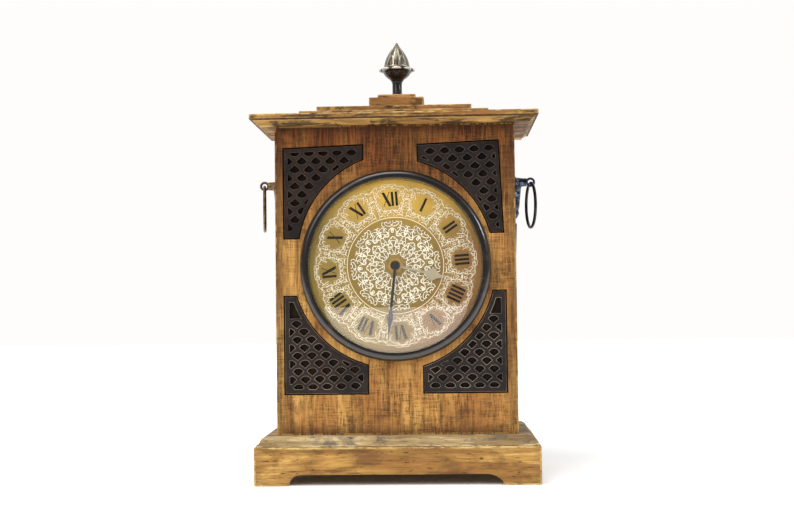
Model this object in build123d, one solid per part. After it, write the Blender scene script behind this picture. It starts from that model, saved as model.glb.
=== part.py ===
from math import acos, cos, hypot, pi, radians, sin, sqrt, tan
import os

from build123d import *

# Table clock in a wooden case with metal frets, a domed glass and a battery movement.
# Millimetres. X is the viewer's right, Y goes to the back, Z is up.
# The origin lies on the floor under the middle of the plinth.

# Plinth
plinth_width = 250.0
plinth_depth = 142.0
rail_height = 33.4
rail_thickness = 14.0
foot_length = 31.0
foot_sweep_end = 44.5
left_front_foot = (29.7, 41.0)
right_front_foot = (32.6, 48.0)
toe_slope = 0.8
toe_height = 3.0
arch_height = 9.6
corner_block_side = 16.0
corner_block_lift = 2.0

# Moulded board between the plinth and the case
board_thickness = 9.0
board_lip_setback = 1.8
board_lip_height = 2.2
board_round_setback = 4.2
board_round_radius = 6.2

# Case
case_width = 213.3
case_depth = 109.6
case_height = 274.6
wall_thickness = 9.0

# Cornice, slab and roof boards
cornice_overhang = 13.85
cornice_front_overhang = 7.0
cornice_fillet_height = 1.2
cornice_thickness = 4.4
cornice_flare = 4.8
slab_overhang = 1.9
slab_front_overhang = 3.3
slab_thickness = 5.0
slab_edge_radius = 0.9
roof_shift = -0.6
lower_roof_width = 169.9
lower_roof_depth = 96.0
lower_roof_thickness = 5.2
upper_roof_width = 140.0
upper_roof_depth = 76.0
upper_roof_thickness = 5.4
roof_edge_radius = 0.8

# Finial and the two blocks that carry it, all standing a little right of the middle
finial_shift = 1.3
lower_block_side = 50.0
lower_block_thickness = 9.6
upper_block_side = 34.8
upper_block_thickness = 4.0
block_edge_radius = 0.6
cup_foot_radius = 7.2
cup_foot_height = 1.3
cup_stem_radius = 4.45
cup_stem_bottom = 2.8
cup_stem_top = 11.6
cup_hip_radius = 8.3
cup_hip = 17.5
cup_bowl_radius = 12.9
cup_bowl_top = 23.2
cup_rim_radius = 17.1
cup_rim_low = 24.2
cup_rim_high = 25.6
cup_height = 27.6
bud_radius = 12.4
bud_height = 23.4
stud_radius = 2.0
stud_into_bud = 8.0
stud_clearance = 0.15
stud_nut_radius = 4.4
stud_nut_thickness = 3.4
stud_tail = 4.0

# Dial opening
dial_height = 191.4
dial_hole_radius = 75.0
dial_turn = 4.5

# Frets let into the front. Each is a corner piece: outer and inner are its edges across the case, near and
# far its heights beside the dial and at the corner, rise the slope of its long edge, lean that of its outer
# edge, and side_arm and end_arm the widths of its two arms where they end.
fret_thickness = 3.2
fret_recess = 1.0
fret_gap = 1.1
scale_width = 9.2
scale_height = 7.0
scale_shoulder = 0.5
slot_bar = 1.2
top_fret_arc = 92.0
bottom_fret_arc = 93.0
front_frets = {
    "grille_top_left": dict(outer=-98.7, inner=-28.4, near=217.0, far=296.5, rise=2.3, lean=0.0,
                            side_arm=12.7, end_arm=12.0),
    "grille_top_right": dict(outer=95.3, inner=21.0, near=220.2, far=301.1, rise=-2.8, lean=3.6,
                             side_arm=11.0, end_arm=13.8),
    "grille_bottom_left": dict(outer=-98.8, inner=-25.7, near=164.8, far=78.9, rise=0.0, lean=0.0,
                               side_arm=10.2, end_arm=24.6),
    "grille_bottom_right": dict(outer=96.7, inner=24.2, near=168.0, far=79.3, rise=0.0, lean=0.0,
                                side_arm=10.6, end_arm=22.8),
}

# The openings in each fret: start is the middle of one, pitch and row the steps along and between the rows,
# tilt the turn of the rows, rim the plain border, smallest the least area that is cut, and slot the two
# heights of a long opening.
fret_rows = {
    "grille_top_left": dict(start=(-63.6, 293.6), pitch=12.7, row=7.45, tilt=0.0, rim=3.4, smallest=8.0,
                            slot=None),
    "grille_top_right": dict(start=(57.8, 294.5), pitch=13.0, row=7.6, tilt=2.6, rim=3.0, smallest=7.0,
                             slot=None),
    "grille_bottom_left": dict(start=(-61.9, 84.4), pitch=12.6, row=7.05, tilt=1.5, rim=3.9, smallest=5.0,
                               slot=(145.5, 159.9)),
    "grille_bottom_right": dict(start=(60.0, 84.4), pitch=12.95, row=7.31, tilt=0.0, rim=3.9, smallest=5.0,
                                slot=(148.2, 162.0)),
}
side_fret_rows = dict(start=(0.0, 150.0), pitch=12.6, row=7.2, tilt=0.0, rim=3.9, smallest=5.0, slot=None)

# Frets let into the sides below the handles
side_fret_width = 62.0
side_fret_bottom = 150.0
side_fret_top = 229.0
side_fret_thickness = 2.4
side_fret_pocket = 2.6
loose_fret_lean = 1.9

# Drop handles
handle_height = 269.0
handle_reach = 17.35
escutcheon_top = 7.0
escutcheon_shoulder_drop = 6.0
escutcheon_bulge = 8.5
escutcheon_waist_drop = 26.0
escutcheon_waist = 6.5
escutcheon_drop = 37.0
post_root_radius = 5.1
post_end_radius = 3.6
eye_radius = 3.4
eye_wire_radius = 1.1
shank_radius = 2.0
shank_clearance = 0.15
shank_tail = 4.2
handle_nut_radius = 4.2
handle_nut_thickness = 3.2
ring_radius = 20.6
ring_wire_radius = 1.4
ring_clearance = 0.1
ring_turn = 8.0

# Back frame and door
door_opening_width = 150.0
door_opening_bottom = 76.0
door_opening_top = 284.0
door_gap = 1.0
hinge_height = 24.0
hinge_leaf_width = 13.0
hinge_leaf_thickness = 1.2
hinge_barrel_radius = 2.6
hinge_pin_radius = 1.2
hinge_bore_clearance = 0.05
hinge_knuckle_gap = 0.2
hinge_pin_head = 1.0
hinge_pin_head_radius = 2.2
hinge_inset = 34.0
knob_radius = 7.0
knob_neck_radius = 3.2
knob_length = 14.0
knob_inset = 12.0
magnet_side = 10.0
magnet_thickness = 5.0

# Dial, bezel and glass
ring_sheet = 0.8
insert_wall_radius = 73.4
insert_depth = 12.0
tongue_width = 9.0
tongue_length = 7.0
dial_radius = 79.4
dial_sheet = 0.8
bezel_outer_radius = 84.5
bezel_inner_radius = 77.0
bezel_bore_clearance = 0.2
bezel_shoulder = 3.6
bezel_lip = 0.7
seat_inner_radius = 75.6
seat_depth = 4.4
seat_flat = 1.2
dome_radius = 76.8
glass_radius = 78.8
glass_thickness = 2.0
glass_rise = 6.0

# Hands, angles clockwise from the top
hour_angle = 104.2
minute_angle = 186.2
hand_sheet = 0.5
hand_tip_half_width = 0.25
hour_length = 45.8
hour_shoulder = 33.8
hour_root = 26.6
hour_half_width = 6.0
hour_stem = 1.9
minute_length = 66.5
minute_shoulder = 47.0
minute_root = 38.0
minute_half_width = 2.8
minute_stem = 2.4
hand_hub_radius = 3.6
hour_hub_length = 1.6
minute_hub_length = 1.4
hand_gap = 0.4
hand_nut_radius = 4.2
hand_nut_length = 1.6

# Movement case
movement_side = 56.0
movement_depth = 16.5
shell = 1.4
cover_thickness = 1.5
cover_clearance = 0.1
bush_radius = 4.0
bush_bore_radius = 2.62
dial_nut_radius = 7.0
dial_nut_thickness = 1.4
bush_over_nut = 0.2
bush_clearance = 0.1

# Arbors: pipe radii leave a running clearance of 0.06 to 0.07
hour_pipe_radius = 2.55
hour_bore_radius = 1.66
minute_arbor_radius = 1.6
arbor_radius = 0.7
pivot_radius = 0.4
pivot_clearance = 0.05
stud_post_radius = 0.8
pivot_length = 0.9
pivot_hole_depth = 1.2
pivot_setback = 2.4
end_play = 0.2
case_boss_radius = 1.4
cover_boss_radius = 1.5
cover_step_radius = 1.2
centre_hub_wall = 1.0

# Wheels: tooth counts and centre distances give the modules
cannon_teeth = 12
minute_wheel_teeth = 36
minute_pinion_teeth = 10
hour_wheel_teeth = 40
set_pinion_teeth = 12
centre_wheel_teeth = 80
train_pinion_teeth = 10
third_wheel_teeth = 75
seconds_wheel_teeth = 60
intermediate_wheel_teeth = 50
motion_distance = 9.0
train_distance = 10.8
intermediate_distance = 8.75
rotor_distance = 6.0
third_direction = 45.0
intermediate_direction = 120.0
rotor_direction = 100.0
wheel_width = 0.7
pressure_angle = radians(20.0)
addendum = 0.6
dedendum = 0.95
tooth_play = 0.16
layer_gap = 0.4

# Motor, board and battery
magnet_radius = 2.3
magnet_length = 1.5
stator_sheet = 0.6
stator_hole_radius = 2.9
stator_wall = 0.9
stator_leg_left = -21.0
stator_leg_right = 15.0
stator_leg_width = 5.0
stator_post_drop = 4.5
coil_radius = 4.2
coil_length = 22.0
coil_cheek = 1.0
winding_radius = 3.4
core_slack = 0.1
coil_height = 21.9
core_width = 3.0
circuit_width = 15.0
circuit_height = 14.0
circuit_sheet = 0.8
circuit_at = (16.5, -3.4)
chip_radius = 2.4
chip_height = 0.8
chip_at = (15.0, -2.4)
crystal_width = 2.0
crystal_length = 7.0
crystal_height = 1.6
crystal_at = (20.5, -3.9)
battery_radius = 7.1
battery_length = 50.0
battery_nub_radius = 2.7
battery_nub_length = 1.2
battery_play = 0.1
contact_sheet = 0.5
contact_height = 10.0
contact_setback = 1.0
contact_boss_radius = 3.5
contact_bump_radius = 2.0
set_knob_radius = 5.8
set_knob_length = 3.0
set_knob_flutes = 18
set_knob_flute_radius = 0.4
set_knob_gap = 0.3
set_pivot_length = 0.8
set_arbor_radius = 0.9
set_arbor_clearance = 0.05

# Heights and faces that follow from the sizes above
case_bottom = rail_height + board_thickness
case_top = case_bottom + case_height
front_face = -case_depth / 2
back_face = case_depth / 2
side_face = case_width / 2
front_inside = front_face + wall_thickness
back_inside = back_face - wall_thickness
side_inside = side_face - wall_thickness
slab_bottom = case_top + cornice_thickness
slab_top = slab_bottom + slab_thickness
lower_roof_top = slab_top + lower_roof_thickness
upper_roof_top = lower_roof_top + upper_roof_thickness
lower_block_top = upper_roof_top + lower_block_thickness
finial_foot = lower_block_top + upper_block_thickness
bud_foot = finial_foot + cup_height
finial_top = bud_foot + bud_height
flange_front = front_face - ring_sheet
dial_face = flange_front - dial_sheet
glass_seat_face = dial_face - seat_depth
bezel_lip_back = glass_seat_face - glass_thickness
bezel_front = bezel_lip_back - bezel_lip
eye_centre = side_face + handle_reach
ring_centre_height = handle_height - (eye_radius - eye_wire_radius - ring_wire_radius - ring_clearance) - ring_radius
movement_half = movement_side / 2


def block(x0, x1, y0, y1, z0, z1):
    return Pos((x0 + x1) / 2, (y0 + y1) / 2, (z0 + z1) / 2) * Box(x1 - x0, y1 - y0, z1 - z0)


def slab(width, depth, bottom, thickness):
    return block(-width / 2, width / 2, -depth / 2, depth / 2, bottom, bottom + thickness)


def facing(y, x=0.0, z=dial_height):
    # a place whose own Z looks at the viewer, for what is drawn as seen from the front
    return Plane(origin=(x, y, z), x_dir=(1, 0, 0), z_dir=(0, -1, 0)).location


def disc(radius, height):
    return Cylinder(radius, height, align=(Align.CENTER, Align.CENTER, Align.MIN))


def ring(outer, inner, height):
    return extrude(Circle(outer) - Circle(inner), height)


def lathe(*outline):
    # closed outline in radius and height, turned about the upright axis
    return revolve(Plane.XZ * make_face(Polyline(*outline, close=True)), Axis.Z)


def hexagon(radius, height):
    return extrude(RegularPolygon(radius, 6), height)


def rounded_top(part, radius):
    return fillet(part.faces().sort_by(Axis.Z)[-1].edges(), radius)


# Plinth rails

def foot_gap(half_span, length, feet):
    # the space between two bracket feet, standing on the floor and running through the rail;
    # feet holds the left and the right foot: its width on the floor and where its sweep meets the arch
    ends = []
    outline = []
    for side, (foot, sweep_end) in zip((-1, 1), feet):
        floor = (side * (half_span - foot), 0)
        toe = (side * (half_span - foot - toe_slope), toe_height)
        crown = (side * (half_span - sweep_end), arch_height)
        outline += [Line(floor, toe), TangentArc(crown, toe, tangent=(side, 0))]
        ends += [floor, crown]
    outline += [Line(ends[0], ends[2]), Line(ends[1], ends[3])]
    return extrude(Plane.XZ * make_face(Curve() + outline), length / 2, both=True)


def plinth_rail(span, reach, feet):
    # a rail along X whose outer face lies at -reach, with mitred ends
    half = span / 2
    inner = half - rail_thickness
    plan = Polyline((-half, -reach), (half, -reach), (inner, rail_thickness - reach),
                    (-inner, rail_thickness - reach), close=True)
    rail = extrude(make_face(plan), rail_height)
    return rail - foot_gap(half, 4 * reach, feet)


plain_feet = ((foot_length, foot_sweep_end), (foot_length, foot_sweep_end))


def plinth_front():
    return plinth_rail(plinth_width, plinth_depth / 2, (left_front_foot, right_front_foot))


def plinth_back():
    return Rot(0, 0, 180) * plinth_rail(plinth_width, plinth_depth / 2, plain_feet)


def plinth_sides():
    rail = plinth_rail(plinth_depth, plinth_width / 2, plain_feet)
    return [Rot(0, 0, turn) * rail for turn in (90, -90)]


def plinth_blocks():
    x = plinth_width / 2 - rail_thickness
    y = plinth_depth / 2 - rail_thickness
    side = corner_block_side
    corner = block(x - side, x, y - side, y, corner_block_lift, rail_height)
    return [corner, mirror(corner, Plane.YZ), mirror(corner, Plane.XZ), Rot(0, 0, 180) * corner]


def base_board():
    lip = slab(plinth_width - 2 * board_lip_setback, plinth_depth - 2 * board_lip_setback,
               rail_height, board_lip_height)
    body = slab(plinth_width - 2 * board_round_setback, plinth_depth - 2 * board_round_setback,
                rail_height, board_thickness)
    return rounded_top(body, board_round_radius) + lip


# Case boards

def fret_outline(outer, inner, near, far, rise, lean, side_arm, end_arm, arc):
    # corner piece whose inside edge is an arc round the dial; near and far are heights
    side = 1 if outer > inner else -1
    up = 1 if far > near else -1
    arm_end = (inner, far + rise - up * end_arm)
    side_end = (outer - side * side_arm, near)
    middle = ((arm_end[0] + side_end[0]) / 2, (arm_end[1] + side_end[1]) / 2)
    chord = hypot(arm_end[0] - side_end[0], arm_end[1] - side_end[1])
    sagitta = arc - sqrt(arc ** 2 - chord ** 2 / 4)
    across = ((arm_end[1] - side_end[1]) / chord, (arm_end[0] - side_end[0]) / chord)
    crest = (middle[0] + side * abs(across[0]) * sagitta, middle[1] + up * abs(across[1]) * sagitta)
    edges = Polyline(side_end, (outer, near), (outer - side * lean, far), (inner, far + rise), arm_end)
    return make_face(Curve() + [edges, ThreePointArc(arm_end, crest, side_end)])


def front_outlines():
    for name, sizes in front_frets.items():
        arc = top_fret_arc if sizes["far"] > sizes["near"] else bottom_fret_arc
        yield name, fret_outline(arc=arc, **sizes)


def front_panel():
    panel = block(-side_face, side_face, front_face, front_inside, case_bottom, case_top)
    panel -= facing(front_inside) * disc(dial_hole_radius, wall_thickness)
    depth = fret_thickness + fret_recess
    for name, outline in front_outlines():
        pocket = extrude(offset(outline, fret_gap, kind=Kind.INTERSECTION), depth)
        panel -= facing(front_face + depth, z=0) * pocket
    return panel


def side_fret_outline(gap=0.0):
    middle = (side_fret_bottom + side_fret_top) / 2
    return Pos(0, middle) * Rectangle(side_fret_width + 2 * gap, side_fret_top - side_fret_bottom + 2 * gap)


def outward(x, z=0.0):
    # a place on the right side whose own Z points outward
    return Plane(origin=(x, 0, z), x_dir=(0, 1, 0), z_dir=(1, 0, 0)).location


def right_side():
    board = block(side_inside, side_face, front_inside, back_face, case_bottom, case_top)
    board -= outward(side_face - side_fret_pocket) * extrude(side_fret_outline(fret_gap), side_fret_pocket)
    return board - outward(side_inside, handle_height) * disc(shank_radius + shank_clearance, wall_thickness)


def left_side():
    return mirror(right_side(), Plane.YZ)


def back_frame():
    frame = block(-side_inside, side_inside, back_inside, back_face, case_bottom, case_top)
    half = door_opening_width / 2
    return frame - block(-half, half, back_inside, back_face, door_opening_bottom, door_opening_top)


def back_door():
    half = door_opening_width / 2 - door_gap
    return block(-half, half, back_inside, back_face,
                 door_opening_bottom + door_gap, door_opening_top - door_gap)


def bored(part, bottom, thickness):
    return part - Pos(finial_shift, 0, bottom) * disc(stud_radius + stud_clearance, thickness)


def cornice_board():
    width = case_width + 2 * cornice_overhang
    depth = case_depth + 2 * cornice_front_overhang
    foot = slab(width, depth, case_top, cornice_fillet_height)
    flare_bottom = case_top + cornice_fillet_height
    lower = Pos(0, 0, flare_bottom) * Rectangle(width, depth)
    upper = Pos(0, 0, slab_bottom) * Rectangle(width + 2 * cornice_flare, depth + 2 * cornice_flare)
    board = foot + loft([lower, upper])
    return bored(board, case_top, cornice_thickness)


def top_slab():
    flare = cornice_flare
    width = case_width + 2 * (cornice_overhang + flare + slab_overhang)
    depth = case_depth + 2 * (cornice_front_overhang + flare + slab_front_overhang)
    part = slab(width, depth, slab_bottom, slab_thickness)
    return bored(rounded_top(part, slab_edge_radius), slab_bottom, slab_thickness)


def roof_lower():
    part = Pos(roof_shift, 0, 0) * slab(lower_roof_width, lower_roof_depth, slab_top, lower_roof_thickness)
    return bored(rounded_top(part, roof_edge_radius), slab_top, lower_roof_thickness)


def roof_upper():
    part = Pos(roof_shift, 0, 0) * slab(upper_roof_width, upper_roof_depth, lower_roof_top, upper_roof_thickness)
    return bored(rounded_top(part, roof_edge_radius), lower_roof_top, upper_roof_thickness)


# Finial

def finial_block_lower():
    part = Pos(finial_shift, 0, 0) * slab(lower_block_side, lower_block_side, upper_roof_top, lower_block_thickness)
    return bored(rounded_top(part, block_edge_radius), upper_roof_top, lower_block_thickness)


def finial_block_upper():
    part = Pos(finial_shift, 0, 0) * slab(upper_block_side, upper_block_side, lower_block_top, upper_block_thickness)
    return bored(rounded_top(part, block_edge_radius), lower_block_top, upper_block_thickness)


def finial_cup():
    stem_top = (cup_stem_radius, cup_stem_top)
    hip = (cup_hip_radius, cup_hip)
    bowl_top = (cup_bowl_radius, cup_bowl_top)
    hollow = (cup_stem_radius + 0.29 * (cup_hip_radius - cup_stem_radius),
              cup_stem_top + 0.56 * (cup_hip - cup_stem_top))
    swell = (cup_hip_radius + 0.63 * (cup_bowl_radius - cup_hip_radius), cup_hip + 0.47 * (cup_bowl_top - cup_hip))
    foot = Polyline((0, cup_height), (0, 0), (cup_foot_radius, 0), (cup_foot_radius, cup_foot_height),
                    (cup_stem_radius, cup_stem_bottom), stem_top)
    rim = Polyline(bowl_top, (cup_rim_radius - 0.4, cup_rim_low), (cup_rim_radius, cup_rim_high),
                   (bud_radius, cup_height), (0, cup_height))
    bowl = [ThreePointArc(stem_top, hollow, hip), ThreePointArc(hip, swell, bowl_top)]
    cup = revolve(Plane.XZ * make_face(Curve() + [foot, *bowl, rim]), Axis.Z)
    return bored(Pos(finial_shift, 0, finial_foot) * cup, finial_foot, cup_height)


def finial_bud():
    tip = 0.06 * bud_radius
    foot = 0.98 * bud_radius
    widest = (bud_radius, 0.06 * bud_height)
    neck = (0.32 * bud_radius, 0.78 * bud_height)
    base = Polyline((tip, bud_height), (0, bud_height), (0, 0), (foot, 0), widest)
    side = ThreePointArc(widest, (0.80 * bud_radius, 0.41 * bud_height), neck)
    nose = ThreePointArc(neck, (0.18 * bud_radius, 0.88 * bud_height), (tip, bud_height))
    bud = revolve(Plane.XZ * make_face(Curve() + [base, side, nose]), Axis.Z)
    return Pos(finial_shift, 0, bud_foot) * (bud - disc(stud_radius, stud_into_bud))


def finial_stud():
    bottom = case_top - stud_nut_thickness - stud_tail
    return Pos(finial_shift, 0, bottom) * disc(stud_radius, bud_foot + stud_into_bud - bottom)


def finial_nut():
    nut = hexagon(stud_nut_radius, stud_nut_thickness) - disc(stud_radius, stud_nut_thickness)
    return Pos(finial_shift, 0, case_top - stud_nut_thickness) * nut


# Frets

def fret_scale(upside_down):
    # one opening: round on one end, pointed on the other
    half = scale_width / 2
    top = scale_height / 2
    crown = ThreePointArc((-half, scale_shoulder), (0, top), (half, scale_shoulder))
    point = Polyline((half, scale_shoulder), (0, -top), (-half, scale_shoulder))
    scale = make_face(Curve() + [crown, point])
    return Rot(0, 0, 180) * scale if upside_down else scale


def pierced(outline, thickness, upside_down, start, pitch, row, tilt, rim, smallest, slot):
    # plate with a rim and staggered rows of scale openings inside it
    field = offset(outline, -rim, kind=Kind.INTERSECTION)
    plate = outline
    if slot:
        low, high = slot
        plate -= field & Pos(start[0], (low + high) / 2) * Rectangle(2 * plinth_width, high - low)
        field -= Pos(start[0], low - slot_bar + plinth_width) * Rectangle(2 * plinth_width, 2 * plinth_width)
    rows = Pos(*start) * Rot(0, 0, tilt)
    scale = fret_scale(upside_down)
    box = field.bounding_box()
    reach = hypot(box.size.X, box.size.Y)
    most_across = int(reach / pitch) + 1
    most_up = int(reach / row) + 1
    for up in range(-most_up, most_up + 1):
        for across in range(-most_across, most_across + 1):
            hole = field & rows * Pos((across + 0.5 * (up % 2)) * pitch, up * row) * scale
            for piece in hole.faces() if hole is not None else []:
                if piece.area > smallest:
                    plate -= piece
    return extrude(plate, thickness)


def front_fret(wanted):
    for name, outline in front_outlines():
        if name == wanted:
            upper = front_frets[name]["far"] > front_frets[name]["near"]
            plate = pierced(outline, fret_thickness, upper, **fret_rows[name])
            return facing(front_face + fret_recess + fret_thickness, z=0) * plate


def side_frets():
    back = side_face - side_fret_pocket
    plate = outward(back) * pierced(side_fret_outline(), side_fret_thickness, False, **side_fret_rows)
    hinge = Pos(back, 0, side_fret_bottom)
    leaning = hinge * Rot(0, loose_fret_lean, 0) * hinge.inverse() * plate
    return [mirror(plate, Plane.YZ), leaning]


# Drop handles

def right_handle_plate():
    # a thick leaf with half-round cross-sections, a post with an eye on it, and a shank through the side
    top = (0, escutcheon_top)
    shoulder = (escutcheon_bulge, -escutcheon_shoulder_drop)
    waist = (escutcheon_waist, -escutcheon_waist_drop)
    tip = (0, -escutcheon_drop)
    crown = ThreePointArc(top, (0.72 * escutcheon_bulge, 0.46 * escutcheon_top), shoulder)
    toe_middle = (0.77 * escutcheon_waist, -escutcheon_waist_drop - 0.62 * (escutcheon_drop - escutcheon_waist_drop))
    toe = ThreePointArc(waist, toe_middle, tip)
    leaf = revolve(Plane.XZ * make_face(Curve() + [crown, Line(shoulder, waist), toe, Line(tip, top)]), Axis.Z)
    plate = Pos(side_face, 0, handle_height) * leaf
    plate &= block(side_face, eye_centre, -plinth_depth, plinth_depth, 0, finial_top)
    post_length = handle_reach - eye_radius
    post = outward(side_face, handle_height) * Cone(post_root_radius, post_end_radius, post_length,
                                                    align=(Align.CENTER, Align.CENTER, Align.MIN))
    eye = Pos(eye_centre, 0, handle_height) * Rot(90, 0, 0) * Torus(eye_radius, eye_wire_radius)
    shank_length = wall_thickness + shank_tail
    shank = outward(side_face - shank_length, handle_height) * disc(shank_radius, shank_length)
    hole = Pos(eye_centre, 0, handle_height) * Rot(90, 0, 0) * Cylinder(eye_radius - eye_wire_radius, ring_radius)
    return plate + (post - hole) + eye + shank


def left_handle_plate():
    return mirror(right_handle_plate(), Plane.YZ)


def handle_nuts():
    nut = hexagon(handle_nut_radius, handle_nut_thickness) - disc(shank_radius, handle_nut_thickness)
    right = outward(side_inside - handle_nut_thickness, handle_height) * nut
    return [right, mirror(right, Plane.YZ)]


def drop_ring(side):
    # hangs in the eye, its plane turned a little about the upright; side is 1 or -1
    turn = Pos(side * eye_centre, 0, ring_centre_height) * Rot(0, 0, ring_turn)
    return turn * Rot(0, 90, 0) * Torus(ring_radius, ring_wire_radius)


# Back door fittings

hinge_x = door_opening_width / 2 - door_gap / 2
hinge_y = back_face + hinge_barrel_radius
hinge_heights = (door_opening_bottom + hinge_inset, door_opening_top - hinge_inset)
knuckle = (hinge_height - 2 * hinge_knuckle_gap) / 3


def hinge_leaf(middle, side, knuckles):
    # a flat leaf on the back face with its share of the barrel; side 1 is on the frame
    low = middle - hinge_height / 2
    reach = hinge_x + side * hinge_leaf_width
    start = hinge_x + side * door_gap
    leaf = block(min(start, reach), max(start, reach), back_face, back_face + hinge_leaf_thickness,
                 low, low + hinge_height)
    web_end = hinge_x + side * (door_gap + hinge_leaf_thickness)
    for index in (0, 1, 2):
        bottom = low + index * (knuckle + hinge_knuckle_gap)
        if index in knuckles:
            barrel = Pos(hinge_x, hinge_y, bottom) * disc(hinge_barrel_radius, knuckle)
            web = block(min(hinge_x, web_end), max(hinge_x, web_end), back_face,
                        back_face + hinge_leaf_thickness, bottom, bottom + knuckle)
            leaf += barrel + web
        else:
            clear = hinge_x + side * (hinge_barrel_radius + hinge_knuckle_gap)
            leaf -= block(min(hinge_x - side, clear), max(hinge_x - side, clear), back_face,
                          hinge_y + hinge_barrel_radius, bottom - hinge_knuckle_gap,
                          bottom + knuckle + hinge_knuckle_gap)
    bore = hinge_pin_radius + hinge_bore_clearance
    return leaf - Pos(hinge_x, hinge_y, low) * disc(bore, hinge_height)


def hinge_leaves_case():
    return [hinge_leaf(height, 1, (0, 2)) for height in hinge_heights]


def hinge_leaves_door():
    return [hinge_leaf(height, -1, (1,)) for height in hinge_heights]


def hinge_pins():
    pins = []
    for height in hinge_heights:
        low = height - hinge_height / 2
        pin = disc(hinge_pin_radius, hinge_height)
        pin += Pos(0, 0, hinge_height) * disc(hinge_pin_head_radius, hinge_pin_head)
        pin += Pos(0, 0, -hinge_pin_head) * disc(hinge_pin_head_radius, hinge_pin_head)
        pins.append(Pos(hinge_x, hinge_y, low) * pin)
    return pins


def door_knob():
    neck = 0.35 * knob_length
    shoulder = 0.25 * knob_length
    knob = lathe((0, 0), (knob_neck_radius + 1.2, 0), (knob_neck_radius, neck), (knob_radius, neck + shoulder),
                 (knob_radius, knob_length - 0.15 * knob_length), (0.7 * knob_radius, knob_length), (0, knob_length))
    x = -door_opening_width / 2 + door_gap + knob_inset
    z = (door_opening_bottom + door_opening_top) / 2
    return Pos(x, back_face, z) * Rot(-90, 0, 0) * knob


def catch_magnet():
    # glued to the frame's inside so that half of it lies behind the door's edge
    x = -door_opening_width / 2
    z = (door_opening_bottom + door_opening_top) / 2
    half = magnet_side / 2
    return block(x - half, x + half, back_inside - magnet_thickness, back_inside, z - half, z + half)


# Dial, bezel and glass, drawn about the dial's axis

def insert_ring():
    flange = facing(front_face) * ring(dial_radius, insert_wall_radius - ring_sheet, ring_sheet)
    tube = facing(front_face + insert_depth) * ring(insert_wall_radius, insert_wall_radius - ring_sheet,
                                                    insert_depth)
    tongues = []
    for turn in (90, 210, 330):
        middle = Rot(0, 0, turn) * Pos(insert_wall_radius, 0, 0)
        tongue = middle * Box(2 * (dial_hole_radius - insert_wall_radius) + ring_sheet, tongue_width,
                              tongue_length, align=(Align.CENTER, Align.CENTER, Align.MIN))
        tongues.append(tongue & ring(dial_hole_radius, insert_wall_radius - ring_sheet / 2, tongue_length))
    tongue_back = front_face + 0.5 * (wall_thickness + tongue_length)
    for tongue in tongues:
        tube += facing(tongue_back) * tongue
    return flange + tube


def dial_plate():
    return facing(flange_front) * ring(dial_radius, bush_radius + bush_clearance, dial_sheet)


def bezel():
    bore = dial_radius + bezel_bore_clearance
    height = front_face - bezel_front
    lip_back = front_face - bezel_lip_back
    width = bezel_outer_radius - bezel_inner_radius
    crest = bezel_inner_radius + 0.45 * width
    crown = ThreePointArc((bezel_outer_radius, bezel_shoulder),
                          (bezel_outer_radius - 0.22 * width, bezel_shoulder + 0.72 * (height - bezel_shoulder)),
                          (crest, height))
    edges = Polyline((crest, height), (bezel_inner_radius, height), (bezel_inner_radius, lip_back), (bore, lip_back),
                     (bore, 0), (bezel_outer_radius, 0), (bezel_outer_radius, bezel_shoulder))
    return facing(front_face) * revolve(Plane.XZ * make_face(Curve() + [crown, edges]), Axis.Z)


def glass_seat():
    outer = dial_radius
    return facing(dial_face) * lathe((outer, 0), (outer, seat_depth), (dome_radius, seat_depth),
                                     (seat_inner_radius, seat_flat), (seat_inner_radius, 0))


def glass():
    edge = dome_radius
    inside = ThreePointArc((0, glass_rise), (edge * sqrt(0.5), glass_rise / 2), (edge, 0))
    outside = ThreePointArc((0, glass_rise + glass_thickness),
                            (edge * sqrt(0.5), glass_rise / 2 + glass_thickness), (edge, glass_thickness))
    rim = Polyline((edge, 0), (glass_radius, 0), (glass_radius, glass_thickness), (edge, glass_thickness))
    axis = Line((0, glass_rise), (0, glass_rise + glass_thickness))
    outline = make_face(Curve() + [inside, rim, outside, axis])
    return facing(glass_seat_face) * revolve(Plane.XZ * outline, Axis.Z)


# Heights in front of the dial's face, for what stands on it
bush_front = dial_nut_thickness + bush_over_nut
hour_hub_back = bush_front + 0.75 * hand_gap
hour_hub_front = hour_hub_back + hour_hub_length
minute_hub_back = hour_hub_front + hand_gap
minute_hub_front = minute_hub_back + minute_hub_length
arbor_front = minute_hub_front + 0.6 * hand_nut_length


def hand(length, shoulder, root, half_width, stem, hub_length, bore, angle):
    # blade drawn pointing up, with a hub at its foot
    half = stem / 2
    tip = hand_tip_half_width
    edges = [Line((-half, 0), (half, 0)), Line((-tip, length), (tip, length))]
    for side in (1, -1):
        waist = side * (0.38 * half_width)
        edges.append(Line((side * half, 0), (side * half, root)))
        edges.append(ThreePointArc((side * half, root), (side * 0.62 * half_width, (root + shoulder) / 2),
                                   (side * half_width, shoulder)))
        edges.append(ThreePointArc((side * half_width, shoulder), (waist, shoulder + 0.42 * (length - shoulder)),
                                   (side * tip, length)))
    blade = extrude(make_face(Curve() + edges), hand_sheet)
    whole = blade + disc(hand_hub_radius, hub_length) - disc(bore, hub_length)
    return Rot(0, 0, -angle) * whole


def hour_hand():
    shape = hand(hour_length, hour_shoulder, hour_root, hour_half_width, hour_stem, hour_hub_length,
                 hour_pipe_radius, hour_angle)
    return facing(dial_face - hour_hub_back) * shape


def minute_hand():
    shape = hand(minute_length, minute_shoulder, minute_root, minute_half_width, minute_stem,
                 minute_hub_length, minute_arbor_radius, minute_angle)
    return facing(dial_face - minute_hub_back) * shape


def hand_nut():
    length = hand_nut_length
    nut = lathe((0, 0), (hand_nut_radius, 0), (hand_nut_radius, 0.55 * length), (0.8 * hand_nut_radius, length),
                (0, length))
    return facing(dial_face - minute_hub_front) * (nut - disc(minute_arbor_radius, arbor_front - minute_hub_front))


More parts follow.
